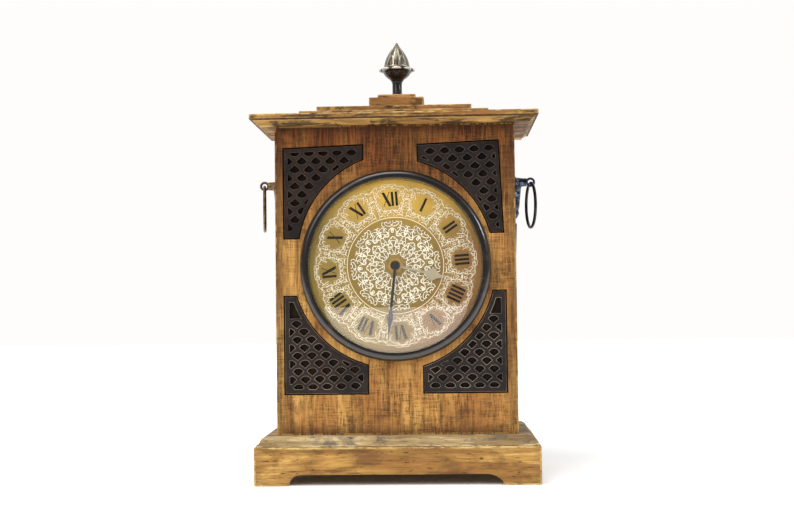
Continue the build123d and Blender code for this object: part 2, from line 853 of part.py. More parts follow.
def dial_nut():
    nut = RegularPolygon(dial_nut_radius, 6) & Circle(0.96 * dial_nut_radius)
    return facing(dial_face) * extrude(nut - Circle(bush_radius), dial_nut_thickness)


# Movement. Depth is measured back from the dial's back, where the movement's case begins.

def at_depth(depth, place=(0.0, 0.0)):
    return facing(flange_front + depth, place[0], dial_height + place[1])


def span(radius, near, far, place=(0.0, 0.0)):
    # a round bar between two depths
    return at_depth(far, place) * disc(radius, far - near)


def movement_block(x0, x1, z0, z1, near, far):
    return block(x0, x1, flange_front + near, flange_front + far, dial_height + z0, dial_height + z1)


def polar(distance, direction, start=(0.0, 0.0)):
    return (start[0] + distance * cos(radians(direction)), start[1] + distance * sin(radians(direction)))


minute_wheel_at = polar(motion_distance, 180.0)
set_at = polar(2 * motion_distance, 180.0)
third_at = polar(train_distance, third_direction)
intermediate_at = polar(intermediate_distance, intermediate_direction)
rotor_at = polar(rotor_distance, rotor_direction, intermediate_at)

hour_layer = shell + end_play
minute_layer = hour_layer + wheel_width + layer_gap
centre_layer = minute_layer + wheel_width + 2 * layer_gap
third_layer = centre_layer + wheel_width + 2 * layer_gap
seconds_layer = third_layer + wheel_width + 2 * layer_gap
intermediate_layer = seconds_layer + wheel_width + layer_gap
stator_layer = intermediate_layer + wheel_width + layer_gap
magnet_near = stator_layer - end_play
magnet_far = magnet_near + magnet_length
cover_layer = movement_depth - cover_thickness
pivot_plane = cover_layer - pivot_setback
battery_floor = shell + battery_play
battery_at = -movement_half + battery_floor + battery_radius
divider_top = battery_at + battery_radius + 2 * battery_play + shell


def gear(teeth, module, phase, width):
    # straight-sided approximation of involute teeth; phase is the direction of one tooth
    pitch = module * teeth / 2
    base = pitch * cos(pressure_angle)
    root = pitch - dedendum * module
    tip = pitch + addendum * module
    half_tooth = pi / (2 * teeth) - tooth_play * module / pitch

    def half_angle(radius):
        slope = acos(min(1.0, base / radius))
        return half_tooth + (tan(pressure_angle) - pressure_angle) - (tan(slope) - slope)

    points = []
    for tooth in range(teeth):
        middle = radians(phase) + 2 * pi * tooth / teeth
        for radius, side in ((root, -1), (pitch, -1), (tip, -1), (tip, 1), (pitch, 1), (root, 1)):
            angle = middle + side * half_angle(max(radius, base))
            points.append((radius * cos(angle), radius * sin(angle)))
    return extrude(make_face(Polyline(*points, close=True)), width)


def toothed(teeth, distance, partner, phase, near, far, place=(0.0, 0.0)):
    module = 2 * distance / (teeth + partner)
    return at_depth(far, place) * gear(teeth, module, phase, far - near)


def between_teeth(direction, teeth):
    # phase that puts a gap, not a tooth, in this direction
    return direction + 180.0 / teeth


def minute_arbor():
    back = centre_layer + wheel_width + layer_gap
    front = -dial_sheet - arbor_front
    teeth = toothed(cannon_teeth, motion_distance, minute_wheel_teeth, between_teeth(180.0, cannon_teeth),
                    minute_layer - 0.5 * layer_gap, minute_layer + wheel_width + 0.5 * layer_gap)
    bore = span(pivot_radius + pivot_clearance, minute_layer + wheel_width, back)
    return span(minute_arbor_radius, front, back) + teeth - bore


def minute_wheel():
    wheel = toothed(minute_wheel_teeth, motion_distance, cannon_teeth, 0.0,
                    minute_layer, minute_layer + wheel_width, minute_wheel_at)
    pinion = toothed(minute_pinion_teeth, motion_distance, hour_wheel_teeth, 0.0,
                     hour_layer - 0.5 * layer_gap, minute_layer, minute_wheel_at)
    bore = span(stud_post_radius + pivot_clearance, 0, minute_layer + wheel_width, minute_wheel_at)
    return wheel + pinion - bore


def hour_wheel():
    front = -dial_sheet - hour_hub_front
    wheel = toothed(hour_wheel_teeth, motion_distance, minute_pinion_teeth,
                    between_teeth(180.0, hour_wheel_teeth), hour_layer, hour_layer + wheel_width)
    back = hour_layer + wheel_width
    return span(hour_pipe_radius, front, back) + wheel - span(hour_bore_radius, front, back)


def set_knob():
    teeth = toothed(set_pinion_teeth, motion_distance, minute_wheel_teeth, between_teeth(0.0, set_pinion_teeth),
                    minute_layer, minute_layer + wheel_width, set_at)
    knob_face = movement_depth + set_knob_gap
    arbor = span(set_arbor_radius, shell, knob_face + set_knob_length / 2, set_at)
    pivot = span(pivot_radius, shell - set_pivot_length, shell, set_at)
    knob = span(set_knob_radius, knob_face, knob_face + set_knob_length, set_at)
    for flute in range(set_knob_flutes):
        place = polar(set_knob_radius, flute * 360.0 / set_knob_flutes, set_at)
        knob -= span(set_knob_flute_radius, knob_face, knob_face + set_knob_length, place)
    return arbor + teeth + pivot + knob


def centre_wheel():
    wheel = toothed(centre_wheel_teeth, train_distance, train_pinion_teeth,
                    between_teeth(third_direction, centre_wheel_teeth), centre_layer, centre_layer + wheel_width)
    hub = span(minute_arbor_radius + centre_hub_wall, centre_layer - 0.5 * layer_gap, centre_layer + wheel_width)
    bore = span(minute_arbor_radius + pivot_clearance, 0, centre_layer + wheel_width)
    return wheel + hub - bore


def third_wheel():
    back = third_layer + wheel_width
    wheel = toothed(third_wheel_teeth, train_distance, train_pinion_teeth,
                    between_teeth(180.0 + third_direction, third_wheel_teeth), third_layer, back, third_at)
    pinion = toothed(train_pinion_teeth, train_distance, centre_wheel_teeth, 180.0 + third_direction,
                     centre_layer - 0.5 * layer_gap, third_layer, third_at)
    arbor = span(arbor_radius, back, pivot_plane, third_at)
    pivots = span(pivot_radius, pivot_plane, pivot_plane + pivot_length, third_at)
    pivots += span(pivot_radius, centre_layer - layer_gap - pivot_length, centre_layer, third_at)
    return wheel + pinion + arbor + pivots


def seconds_wheel():
    front = centre_layer + wheel_width + 1.5 * layer_gap
    back = seconds_layer + wheel_width
    wheel = toothed(seconds_wheel_teeth, intermediate_distance, train_pinion_teeth,
                    between_teeth(intermediate_direction, seconds_wheel_teeth), seconds_layer, back)
    pinion = toothed(train_pinion_teeth, train_distance, third_wheel_teeth, third_direction, front, seconds_layer)
    arbor = span(arbor_radius, back, pivot_plane)
    pivots = span(pivot_radius, pivot_plane, pivot_plane + pivot_length)
    pivots += span(pivot_radius, minute_layer + wheel_width + end_play, front)
    return wheel + pinion + arbor + pivots


def intermediate_wheel():
    near = seconds_layer - 0.5 * layer_gap
    back = intermediate_layer + wheel_width
    wheel = toothed(intermediate_wheel_teeth, rotor_distance, train_pinion_teeth,
                    between_teeth(rotor_direction, intermediate_wheel_teeth), intermediate_layer, back,
                    intermediate_at)
    pinion = toothed(train_pinion_teeth, intermediate_distance, seconds_wheel_teeth,
                     180.0 + intermediate_direction, near, intermediate_layer, intermediate_at)
    return wheel + pinion - span(pivot_radius + pivot_clearance, near, back, intermediate_at)


def rotor():
    near = intermediate_layer - 0.5 * layer_gap
    pinion = toothed(train_pinion_teeth, rotor_distance, intermediate_wheel_teeth, 180.0 + rotor_direction,
                     near, magnet_near, rotor_at)
    magnet = span(magnet_radius, magnet_near, magnet_far, rotor_at)
    return pinion + magnet - span(pivot_radius + pivot_clearance, near, magnet_far, rotor_at)


def stator():
    # soft iron plate round the rotor whose upper bar is the coil's core
    far = stator_layer + stator_sheet
    half_leg = stator_leg_width / 2
    left = stator_leg_left - half_leg
    right = stator_leg_right + half_leg
    bar_low = rotor_at[1] - stator_hole_radius - stator_wall
    bar_high = rotor_at[1] + stator_hole_radius + stator_wall
    core_low = coil_height - core_width / 2
    core_high = coil_height + core_width / 2
    plate = movement_block(left, right, bar_low, bar_high, stator_layer, far)
    for leg in (stator_leg_left, stator_leg_right):
        plate += movement_block(leg - half_leg, leg + half_leg, bar_low, core_high, stator_layer, far)
    plate += movement_block(left, right, core_low, core_high, stator_layer, far)
    return plate - span(stator_hole_radius, stator_layer, far, rotor_at)


def coil():
    middle = (stator_leg_left + stator_leg_right) / 2
    depth = stator_layer + stator_sheet / 2
    place = Pos(middle, flange_front + depth, dial_height + coil_height) * Rot(0, 90, 0)
    wound = place * Cylinder(winding_radius, coil_length)
    for side in (-1, 1):
        wound += place * Pos(0, 0, side * (coil_length - coil_cheek) / 2) * Cylinder(coil_radius, coil_cheek)
    half_core = core_width / 2 + core_slack
    return wound - movement_block(middle - coil_length, middle + coil_length, coil_height - half_core,
                                  coil_height + half_core, stator_layer - core_slack,
                                  stator_layer + stator_sheet + core_slack)


def circuit_board():
    x, z = circuit_at
    half_width = circuit_width / 2
    half_height = circuit_height / 2
    near = cover_layer - circuit_sheet
    board = movement_block(x - half_width, x + half_width, z - half_height, z + half_height, near, cover_layer)
    chip = span(chip_radius, near - chip_height, near, chip_at)
    left = crystal_at[0] - crystal_width / 2
    low = crystal_at[1] - crystal_length / 2
    crystal = movement_block(left, left + crystal_width, low, low + crystal_length, near - crystal_height, near)
    return board + chip + crystal


def movement_case():
    half = movement_half
    shape = movement_block(-half, half, -half, half, 0, movement_depth)
    inside = half - shell
    shape -= movement_block(-inside, inside, divider_top, inside, shell, movement_depth)
    shape -= movement_block(-inside, inside, -inside, divider_top - shell, shell, movement_depth)
    shape += span(bush_radius, -dial_sheet - bush_front, 0)
    shape -= span(bush_bore_radius, -dial_sheet - bush_front, shell)
    shape += span(stud_post_radius, shell, minute_layer + wheel_width + end_play, minute_wheel_at)
    boss_end = centre_layer - layer_gap
    shape += span(case_boss_radius, shell, boss_end, third_at)
    shape -= span(pivot_radius + pivot_clearance, boss_end - pivot_hole_depth, boss_end, third_at)
    return shape - span(pivot_radius + pivot_clearance, shell - set_pivot_length - end_play, shell, set_at)


def movement_cover():
    inside = movement_half - shell - cover_clearance
    cover = movement_block(-inside, inside, divider_top + cover_clearance, inside, cover_layer, movement_depth)
    for place in ((0.0, 0.0), third_at):
        cover += span(cover_boss_radius, pivot_plane + end_play, cover_layer, place)
        cover -= span(pivot_radius + pivot_clearance, pivot_plane + end_play, pivot_plane + pivot_hole_depth, place)
    cover += span(pivot_radius, seconds_layer - 0.5 * layer_gap, cover_layer, intermediate_at)
    cover += span(cover_step_radius, intermediate_layer + wheel_width + end_play, cover_layer, intermediate_at)
    cover += span(pivot_radius, intermediate_layer - 0.5 * layer_gap, cover_layer, rotor_at)
    cover += span(cover_step_radius, magnet_far + end_play, cover_layer, rotor_at)
    for leg in (stator_leg_left, stator_leg_right):
        place = (leg, coil_height - stator_post_drop)
        cover += span(cover_boss_radius, stator_layer + stator_sheet, cover_layer, place)
    return cover - span(set_arbor_radius + set_arbor_clearance, cover_layer, movement_depth, set_at)


def battery():
    centre = Pos(0, flange_front + battery_floor + battery_radius, dial_height + battery_at) * Rot(0, 90, 0)
    nub = Pos(0, 0, battery_length / 2 - battery_nub_length / 2)
    body_length = battery_length - battery_nub_length
    can = Pos(0, 0, -battery_nub_length / 2) * Cylinder(battery_radius, body_length)
    return centre * (can + nub * Cylinder(battery_nub_radius, battery_nub_length))


def battery_contacts():
    # a plate with a bump for the nub and a plate with a boss for the flat end
    inside = movement_half - shell
    half = battery_length / 2
    low = battery_at - contact_height / 2
    high = battery_at + contact_height / 2
    near = battery_floor + contact_setback
    far = movement_depth - 2 * contact_setback
    centre = flange_front + battery_floor + battery_radius
    right = movement_block(inside - contact_sheet, inside, low, high, near, far)
    left = movement_block(-inside, -inside + contact_sheet, low, high, near, far)
    boss_length = inside - contact_sheet - half
    boss = Pos(-inside + contact_sheet + boss_length / 2, centre, dial_height + battery_at) * Rot(0, 90, 0)
    bump = Pos(inside - contact_sheet - boss_length / 2, centre, dial_height + battery_at) * Rot(0, 90, 0)
    return [right + bump * Cylinder(contact_bump_radius, boss_length),
            left + boss * Cylinder(contact_boss_radius, boss_length)]


makers = [
    plinth_front, plinth_back, plinth_sides, plinth_blocks, base_board, front_panel, left_side, right_side,
    back_frame, back_door, cornice_board, top_slab, roof_lower, roof_upper, finial_block_lower,
    finial_block_upper, finial_cup, finial_bud, finial_stud, finial_nut, side_frets, left_handle_plate,
    right_handle_plate, handle_nuts, hinge_leaves_case, hinge_leaves_door, hinge_pins, door_knob,
    catch_magnet, insert_ring, dial_plate, bezel, glass_seat, glass, dial_nut, hour_hand, minute_hand,
    hand_nut, movement_case, movement_cover, minute_arbor, minute_wheel, hour_wheel, set_knob,
    centre_wheel, third_wheel, seconds_wheel, intermediate_wheel, rotor, stator, coil, circuit_board,
    battery, battery_contacts,
]

# The insert, its dial and its movement sit turned in the case as one
turned_in_case = {
    "insert_ring", "dial_plate", "dial_nut", "movement_case", "movement_cover", "minute_wheel", "set_knob",
    "centre_wheel", "third_wheel", "seconds_wheel", "intermediate_wheel", "rotor", "stator", "coil",
    "circuit_board", "battery", "battery_contacts", "hour_wheel", "minute_arbor",
}


def turn_with_dial(shape):
    axis = Axis((0, 0, dial_height), (0, 1, 0))
    return shape.rotate(axis, -dial_turn)


def build():
    parts = {maker.__name__: maker() for maker in makers}
    for name in front_frets:
        parts[name] = front_fret(name)
    parts["left_ring"] = drop_ring(-1)
    parts["right_ring"] = drop_ring(1)
    for name in turned_in_case:
        shape = parts[name]
        turned = [turn_with_dial(piece) for piece in shape] if isinstance(shape, list) else turn_with_dial(shape)
        parts[name] = turned
    return parts


os.makedirs("parts", exist_ok=True)
for name, shape in build().items():
    export_step(Compound(children=shape) if isinstance(shape, list) else shape, f"parts/{name}.step")
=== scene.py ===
from math import atan2, cos, hypot, pi, radians, sin, sqrt
from random import Random

import bmesh
import bpy
from mathutils import Matrix, Vector


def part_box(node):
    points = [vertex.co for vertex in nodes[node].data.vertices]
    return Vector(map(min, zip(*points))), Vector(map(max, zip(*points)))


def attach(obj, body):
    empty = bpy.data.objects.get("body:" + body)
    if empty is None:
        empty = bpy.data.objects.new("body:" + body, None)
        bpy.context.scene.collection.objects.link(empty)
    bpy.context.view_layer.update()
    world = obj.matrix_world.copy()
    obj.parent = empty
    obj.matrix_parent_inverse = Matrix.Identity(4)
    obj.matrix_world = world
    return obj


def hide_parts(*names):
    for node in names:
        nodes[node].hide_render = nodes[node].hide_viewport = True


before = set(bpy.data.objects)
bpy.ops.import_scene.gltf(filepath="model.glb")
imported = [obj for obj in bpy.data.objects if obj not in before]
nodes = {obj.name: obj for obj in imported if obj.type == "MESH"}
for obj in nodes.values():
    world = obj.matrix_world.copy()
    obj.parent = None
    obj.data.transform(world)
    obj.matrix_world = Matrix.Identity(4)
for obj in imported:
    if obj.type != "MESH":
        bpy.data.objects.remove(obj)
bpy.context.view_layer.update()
mm = 0.001
dialHeight = 191.4  # the dial's axis above the floor
frontFace = -54.8  # the case's front, along Y
print("frame loaded:", len(nodes), "nodes")


# shader helpers

def tint(*screen):  # a screen colour, 0 to 255, as a linear one
    return tuple(c / 3294.6 if c < 11 else ((c / 255 + 0.055) / 1.055) ** 2.4 for c in screen) + (1.0,)


class Wire:
    # a socket that sums and products can be written with
    def __init__(self, paint, socket):
        self.paint, self.socket = paint, socket

    def __add__(self, other):
        return self.paint.sum("ADD", self, other)

    def __sub__(self, other):
        return self.paint.sum("SUBTRACT", self, other)

    def __rsub__(self, other):
        return self.paint.sum("SUBTRACT", other, self)

    def __mul__(self, other):
        return self.paint.sum("MULTIPLY", self, other)

    def __pow__(self, other):
        return self.paint.sum("POWER", self, other)

    __radd__ = __add__
    __rmul__ = __mul__


rayKinds = ("camera", "shadow", "diffuse", "glossy", "singular", "reflection", "transmission")


class Paint:
    def __init__(self, name, owner=None):
        self.material = owner or bpy.data.materials.new(name)
        self.material.use_nodes = True
        self.tree = self.material.node_tree
        self.tree.nodes.clear()

    def node(self, kind, sockets=None, out=0, **settings):
        made = self.tree.nodes.new(kind)
        for name, value in settings.items():
            setattr(made, name, value)
        for key, value in (sockets or {}).items():
            if isinstance(value, Wire):
                self.tree.links.new(value.socket, made.inputs[key])
            else:
                made.inputs[key].default_value = value
        return Wire(self, made.outputs[out]) if made.outputs else None

    def sum(self, operation, *values):
        return self.node("ShaderNodeMath", dict(enumerate(values)), operation=operation)

    def least(self, a, b):
        return self.sum("MINIMUM", a, b)

    def most(self, a, b):
        return self.sum("MAXIMUM", a, b)

    def place(self):  # object coordinates, metres
        return self.node("ShaderNodeTexCoord", out=3)

    def facing(self):  # which way the surface looks, in the object's axes
        return self.axes(self.node("ShaderNodeTexCoord", out=1))

    def ray(self, kind):  # 1 for rays of this kind
        return self.node("ShaderNodeLightPath", out=rayKinds.index(kind))

    def axes(self, vector):
        return [self.node("ShaderNodeSeparateXYZ", {0: vector}, out=i) for i in range(3)]

    def step(self, value, low, high):  # 0 below low, 1 above high, smooth between
        return self.node("ShaderNodeMapRange", {0: value, 1: low, 2: high}, interpolation_type="SMOOTHSTEP")

    def below(self, value, low, high):  # 1 below low, 0 above high
        return 1 - self.step(value, low, high)

    def absolute(self, value):
        return self.sum("ABSOLUTE", value)

    def stretched(self, vector, scale, shift=0.0):
        return self.node("ShaderNodeMapping", {0: vector, 1: (shift, 0.37 * shift, 0.71 * shift), 3: scale})

    def noise(self, vector, scale, detail=2.0, roughness=0.5, twist=0.0):
        return self.node("ShaderNodeTexNoise", {"Vector": vector, "Scale": scale, "Detail": detail,
                                                "Roughness": roughness, "Distortion": twist})

    def mix(self, share, first, second):
        return self.node("ShaderNodeMix", {0: share, 6: first, 7: second}, out=2, data_type="RGBA")

    def finish(self, colour, roughness, bump=None, **constants):  # bump: height, distance, strength
        sockets = {"Base Color": colour, "Roughness": roughness, **constants}
        if bump:
            height, distance, strength = bump
            sockets["Normal"] = self.node("ShaderNodeBump", {"Height": height, "Distance": distance,
                                                             "Strength": strength})
        shader = self.node("ShaderNodeBsdfPrincipled", sockets)
        self.node("ShaderNodeOutputMaterial", {0: shader})
        return self.material


def plainPaint(name, colour, roughness, metallic=0.0, **constants):
    return Paint(name).finish(tint(*colour), roughness, Metallic=metallic, **constants)


def give(piece, material):
    piece.data.materials.clear()
    piece.data.materials.append(material)
    return piece


# mesh helpers

def newPiece(name, mesh):
    piece = bpy.data.objects.new(name, mesh)
    bpy.context.scene.collection.objects.link(piece)
    return piece


def settle(piece, name=None):  # what the modifiers make, as a plain mesh
    seen = piece.evaluated_get(bpy.context.evaluated_depsgraph_get())
    mesh = bpy.data.meshes.new_from_object(seen)
    if piece.type == "MESH":
        piece.modifiers.clear()
        piece.data = mesh
        return piece
    made = newPiece(name, mesh)
    bpy.data.objects.remove(piece)
    return made


def smooth(mesh):
    mesh.polygons.foreach_set("use_smooth", [True] * len(mesh.polygons))


def shadeByAngle(piece, angle=35.0):
    smooth(piece.data)
    piece.data.set_sharp_from_angle(angle=radians(angle))
    return piece


def stand(piece, material, body="case", node=None):
    give(piece, material)
    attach(piece, body)
    if node:
        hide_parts(node)


def meshPiece(name, shape, place=None):  # a finished bmesh as a piece
    mesh = bpy.data.meshes.new(name)
    shape.to_mesh(mesh)
    shape.free()
    if place is not None:
        mesh.transform(place)
    return newPiece(name, mesh)


def nodeCopy(node, name):  # a CAD node's shape with its doubles merged and its flat faces whole
    shape = bmesh.new()
    shape.from_mesh(nodes[node].data)
    bmesh.ops.remove_doubles(shape, verts=shape.verts, dist=2e-6)
    bmesh.ops.dissolve_limit(shape, angle_limit=radians(0.6), verts=shape.verts, edges=shape.edges)
    piece = meshPiece(name, shape)
    piece.data.materials.clear()
    return piece


sharpEdge = 32.0  # degrees


def eased(node, name, edge, steps=2):  # the same shape with its sharp edges rounded over
    piece = nodeCopy(node, name)
    shape = bmesh.new()
    shape.from_mesh(piece.data)
    bmesh.ops.triangulate(shape, faces=shape.faces)  # a bevel needs faces without holes
    shape.to_mesh(piece.data)
    shape.free()
    smooth(piece.data)
    bevel = piece.modifiers.new("edge", "BEVEL")
    bevel.width, bevel.segments, bevel.limit_method = edge * mm, steps, "ANGLE"
    bevel.angle_limit, bevel.use_clamp_overlap, bevel.miter_outer = radians(sharpEdge), False, "MITER_SHARP"
    weighted = piece.modifiers.new("flats", "WEIGHTED_NORMAL")
    weighted.keep_sharp, weighted.weight = True, 100
    return settle(piece)


def arcThrough(first, middle, last, steps):  # the points between the ends of an arc through three points
    ax, ay, bx, by, cx, cy = *first, *middle, *last
    d = 2 * (ax * (by - cy) + bx * (cy - ay) + cx * (ay - by))
    a2, b2, c2 = ax * ax + ay * ay, bx * bx + by * by, cx * cx + cy * cy
    x = (a2 * (by - cy) + b2 * (cy - ay) + c2 * (ay - by)) / d
    y = (a2 * (cx - bx) + b2 * (ax - cx) + c2 * (bx - ax)) / d
    start, mid, end = (atan2(q - y, p - x) for p, q in ((ax, ay), (bx, by), (cx, cy)))
    sweep, part = (end - start) % (2 * pi), (mid - start) % (2 * pi)
    sweep = sweep if part <= sweep else sweep - 2 * pi
    size = hypot(ax - x, ay - y)
    return [(x + size * cos(start + sweep * i / steps), y + size * sin(start + sweep * i / steps))
            for i in range(1, steps)]


# the dial's own frame, with its Z toward the viewer
dialAxis = Matrix.Translation((0, frontFace * mm, dialHeight * mm)) @ Matrix.Rotation(pi / 2, 4, "X")


def lathe(name, outline, segments, place, relief=None):
    # outline: closed loop of (radius, height) in millimetres
    # relief: gives how far a point moves in, and the tone it leaves in the attribute "hollow"
    shape = bmesh.new()
    rings = []
    depth = shape.verts.layers.float.new("hollow")
    for radius, height in outline:
        ring = []
        for i in range(segments):
            turn = 2 * pi * i / segments
            sunk, tone = relief(turn, radius, height) if relief else (0.0, 0.0)
            vert = shape.verts.new(((radius - sunk) * cos(turn), (radius - sunk) * sin(turn), height))
            vert[depth] = tone
            ring.append(vert)
        rings.append(ring)
    for one, two in zip(rings, rings[1:] + rings[:1]):
        for i in range(segments):
            j = (i + 1) % segments
            shape.faces.new((one[i], one[j], two[j], two[i]))
    bmesh.ops.remove_doubles(shape, verts=shape.verts, dist=1e-4)
    bmesh.ops.dissolve_degenerate(shape, edges=shape.edges, dist=1e-5)
    bmesh.ops.recalc_face_normals(shape, faces=shape.faces)
    return meshPiece(name, shape, place @ Matrix.Scale(mm, 4))


# woods

# how often each kind of mark comes in a metre, along the grain and across it
grains = dict(broad=(7, 42), fibre=(34, 640), streak=(14, 190), pores=(130, 560), saw=(1000, 90))
# where recesses are painted dark as their shade, millimetres: behind the front face, inside the panel's edge,
# inside a side's outer face, and within the opening in a side
recesses = dict(behind=(0.7, 1.7), panel=(103.0, 103.6), side=(105.0, 106.0), opening=(32.2, 32.6))
# painted shade: the near-black colour that recesses are given
recessShade = tint(5, 3, 3)


def agedWood(name, box, seed, grain, pale, warm, dark, smudge, smudges, worn, wear, hatch=0.0, ticks=0.0,
             glints=0.4, edgeDarkening=0.0, top=None, sunk=None, patchy=(0.49, 0.62), spread=1.0, underShadow=False):
    # grain: the axis the fibres follow; hatch: saw marks both ways; ticks: short dark pores
    # smudges: how dark they are; patchy: how sharply they end; spread: how small they are
    # wear: how bright the edges are rubbed; glints: pale fibres; edgeDarkening: darker along the edges
    # top: a darkening that deepens upward, partly discoloured wood and partly painted shade under the cornice
    # sunk: the axis along which recesses are painted nearly black as their shade
    # underShadow: a painted shadow line along the lower edge, where the board sits on the one below
    p = Paint(name)
    at = p.place()

    def grown(scale, shift, *noise, size=1.0):  # noise drawn out along the grain; scale: along it, across it
        return p.noise(p.stretched(at, [scale[axis != grain] for axis in "xyz"], seed + shift), size, *noise)

    broad = grown(grains["broad"], 0, 4, 0.6, 0.6)
    fibre = grown(grains["fibre"], 3, 5, 0.7)
    streak = grown(grains["streak"], 7, 3, 0.6, 0.3)
    cloud = grown((1, spread), 11, 6, 0.68, 0.5, size=30.0)
    patch = grown((1, spread), 17, 3, 0.55, size=11.0 * spread)
    pores = grown(grains["pores"], 23, 3, 0.6)
    colour = p.mix(p.step(broad, 0.36, 0.62), tint(*pale), tint(*warm))
    colour = p.mix(p.step(streak, 0.5, 0.72) * 0.5, colour, tint(*dark))
    colour = p.mix(p.step(fibre, 0.5, 0.7) * 0.58, colour, tint(*dark))
    colour = p.mix(p.step(1 - fibre * 0.6 - broad * 0.4, 0.53, 0.66) * glints, colour, tint(*worn))
    lines = fibre
    if hatch:
        close, far = grains["saw"]
        sawn = p.noise(p.stretched(at, (close, close, far), seed + 31), 1.0, 2, 0.6)
        level = p.noise(p.stretched(at, (far, far, close), seed + 37), 1.0, 2, 0.6)
        where = p.step(p.noise(p.stretched(at, (1, 1, 1), seed + 41), 24.0, 3), 0.38, 0.6)
        marks = p.step(sawn * 0.55 + level * 0.45, 0.46, 0.62) * (0.45 + 0.55 * where)
        colour = p.mix(marks * hatch, colour, tint(*dark))
        lines = fibre + marks * 0.6
    blot = cloud * 0.55 + patch * 0.3 + streak * 0.15
    colour = p.mix(p.step(blot, *patchy) * smudges, colour, tint(*smudge))
    colour = p.mix(p.step(pores, 0.6, 0.72) * (0.45 + ticks), colour, tint(*dark))
    x, y, z = p.axes(at)
    gapX, gapY, gapZ = [p.least(here - low, high - here) for here, low, high in zip((x, y, z), *box)]
    # distance to the nearest edge of the box, on its surface
    edge = p.most(p.least(gapX, gapY), p.least(p.most(gapX, gapY), gapZ))
    # painted shade under the cornice, partly discoloured wood: the colour darkens toward the top
    if top:
        above = p.step(z + cloud * 0.05 - 0.025 + patch * 0.02 - 0.01, top["low"], top["high"])
        share = p.step(fibre * 0.6 + lines * 0.2 + cloud * 0.2, 0.42, 0.62)
        colour = p.mix(above * top["share"], colour, p.mix(share, tint(*top["shade"]), tint(44, 20, 8)))
    # darker along the edges of the board
    if edgeDarkening:
        colour = p.mix(p.below(edge + cloud * 0.024 - 0.012, 0.0, 0.012) * edgeDarkening, colour, tint(*smudge))
    rub = p.below(edge, 0.0004, 0.0022) * p.step(cloud * 0.5 + pores * 0.5, 0.46, 0.56)
    colour = p.mix(rub * wear, colour, tint(*worn))
    # painted shadow: a dark line along the board's lower edge, where it sits on the board below
    if underShadow:
        colour = p.mix(p.below(z - box[0][2], 0.0005, 0.0014) * 0.85, colour, tint(*dark))
    behind, panel, side, opening = [[limit * mm for limit in pair] for pair in recesses.values()]
    # painted shade: the recess behind the front face, inside the panel's edge, turns nearly black
    if sunk == "y":
        inside = p.step(y - frontFace * mm, *behind) * p.below(p.absolute(x), *panel)
        inside *= p.below(p.facing()[1], 0.5, 0.9)  # not on the back of the board
        colour = p.mix(inside * 0.98, colour, p.mix(p.step(cloud, 0.5, 0.62), recessShade, tint(34, 18, 10)))
    # painted shade: inside the side's opening, behind its fret, the wood turns nearly black
    if sunk == "x":
        inside = p.below(p.absolute(x), *side) * p.below(p.absolute(y), *opening)
        inside *= p.step(p.facing()[0] * x, -0.08, -0.04)  # not on the face toward the inside of the case
        colour = p.mix(inside * 0.98, colour, recessShade)
    return p.finish(colour, 0.5 + fibre * 0.24, bump=(lines, 0.0004, 0.45), **{"Specular IOR Level": 0.14})


frontWood = dict(grain="z", pale=(208, 158, 86), warm=(166, 114, 60), dark=(60, 36, 20), smudge=(54, 34, 22),
                 smudges=0.66, hatch=0.7, ticks=0.1, worn=(232, 184, 106), wear=0.45, glints=0.5, edgeDarkening=0.62,
                 sunk="y", top=dict(low=0.205, high=0.290, shade=(112, 50, 15), share=0.82))
sideWood = dict(grain="z", pale=(186, 134, 68), warm=(148, 98, 48), dark=(70, 42, 22), smudge=(62, 42, 30),
                smudges=0.6, hatch=0.45, worn=(206, 156, 88), wear=0.5, edgeDarkening=0.5, sunk="x",
                top=dict(low=0.25, high=0.325, shade=(84, 42, 18), share=0.7))
plinthWood = dict(grain="x", pale=(212, 166, 88), warm=(156, 112, 60), dark=(64, 42, 24), smudge=(98, 68, 44),
                  smudges=0.62, ticks=0.6, worn=(240, 208, 136), wear=0.7, glints=0.9, edgeDarkening=0.4,
                  patchy=(0.49, 0.6), spread=2.2)
boardWood = dict(grain="x", pale=(188, 162, 116), warm=(142, 116, 78), dark=(66, 50, 36),
                 smudge=(100, 88, 78), smudges=0.8, ticks=0.55, worn=(240, 222, 178), wear=0.85, glints=0.8,
                 patchy=(0.49, 0.56), spread=1.8)
topWood = dict(grain="x", pale=(224, 176, 100), warm=(164, 114, 62), dark=(46, 28, 16), smudge=(52, 36, 26),
               smudges=0.88, ticks=0.45, worn=(240, 202, 132), wear=0.5, glints=0.8, edgeDarkening=0.3,
               patchy=(0.475, 0.55), spread=1.7)
blockWood = dict(topWood, smudges=0.7, edgeDarkening=0.2, pale=(214, 168, 96), patchy=(0.47, 0.53), spread=2.4)
backWood = dict(grain="z", pale=(186, 140, 86), warm=(156, 108, 62), dark=(104, 70, 42), smudge=(104, 82, 62),
                smudges=0.35, worn=(200, 160, 106), wear=0.3)

boards = [  # node, wood, edge rounding
    ("plinth_front", plinthWood, 1.0),
    ("plinth_back", plinthWood, 1.0),
    ("plinth_sides", dict(plinthWood, grain="y"), 1.0),
    ("base_board", boardWood, 0.7),
    ("front_panel", frontWood, 0.5),
    ("left_side", sideWood, 0.7),
    ("right_side", sideWood, 0.7),
    ("cornice_board", topWood, 0.5),
    ("top_slab", dict(topWood, underShadow=True), 0.5),
    ("roof_lower", topWood, 0.4),
    ("roof_upper", topWood, 0.4),
    ("finial_block_lower", dict(blockWood, underShadow=True), 0.5),
    ("finial_block_upper", blockWood, 0.4),
    ("back_frame", backWood, 0.5),
    ("back_door", backWood, 0.8),
    ("plinth_blocks", backWood, 0.4),
]
seedStep = 5.3  # so that no two boards show the same marks
for number, (node, wood, edge) in enumerate(boards):
    paint = agedWood(node + "_finish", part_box(node), seedStep * number, **wood)
    stand(eased(node, node + "_wood", edge), paint, "door" if node == "back_door" else "case", node)
print("wooden boards:", len(boards))


# frets

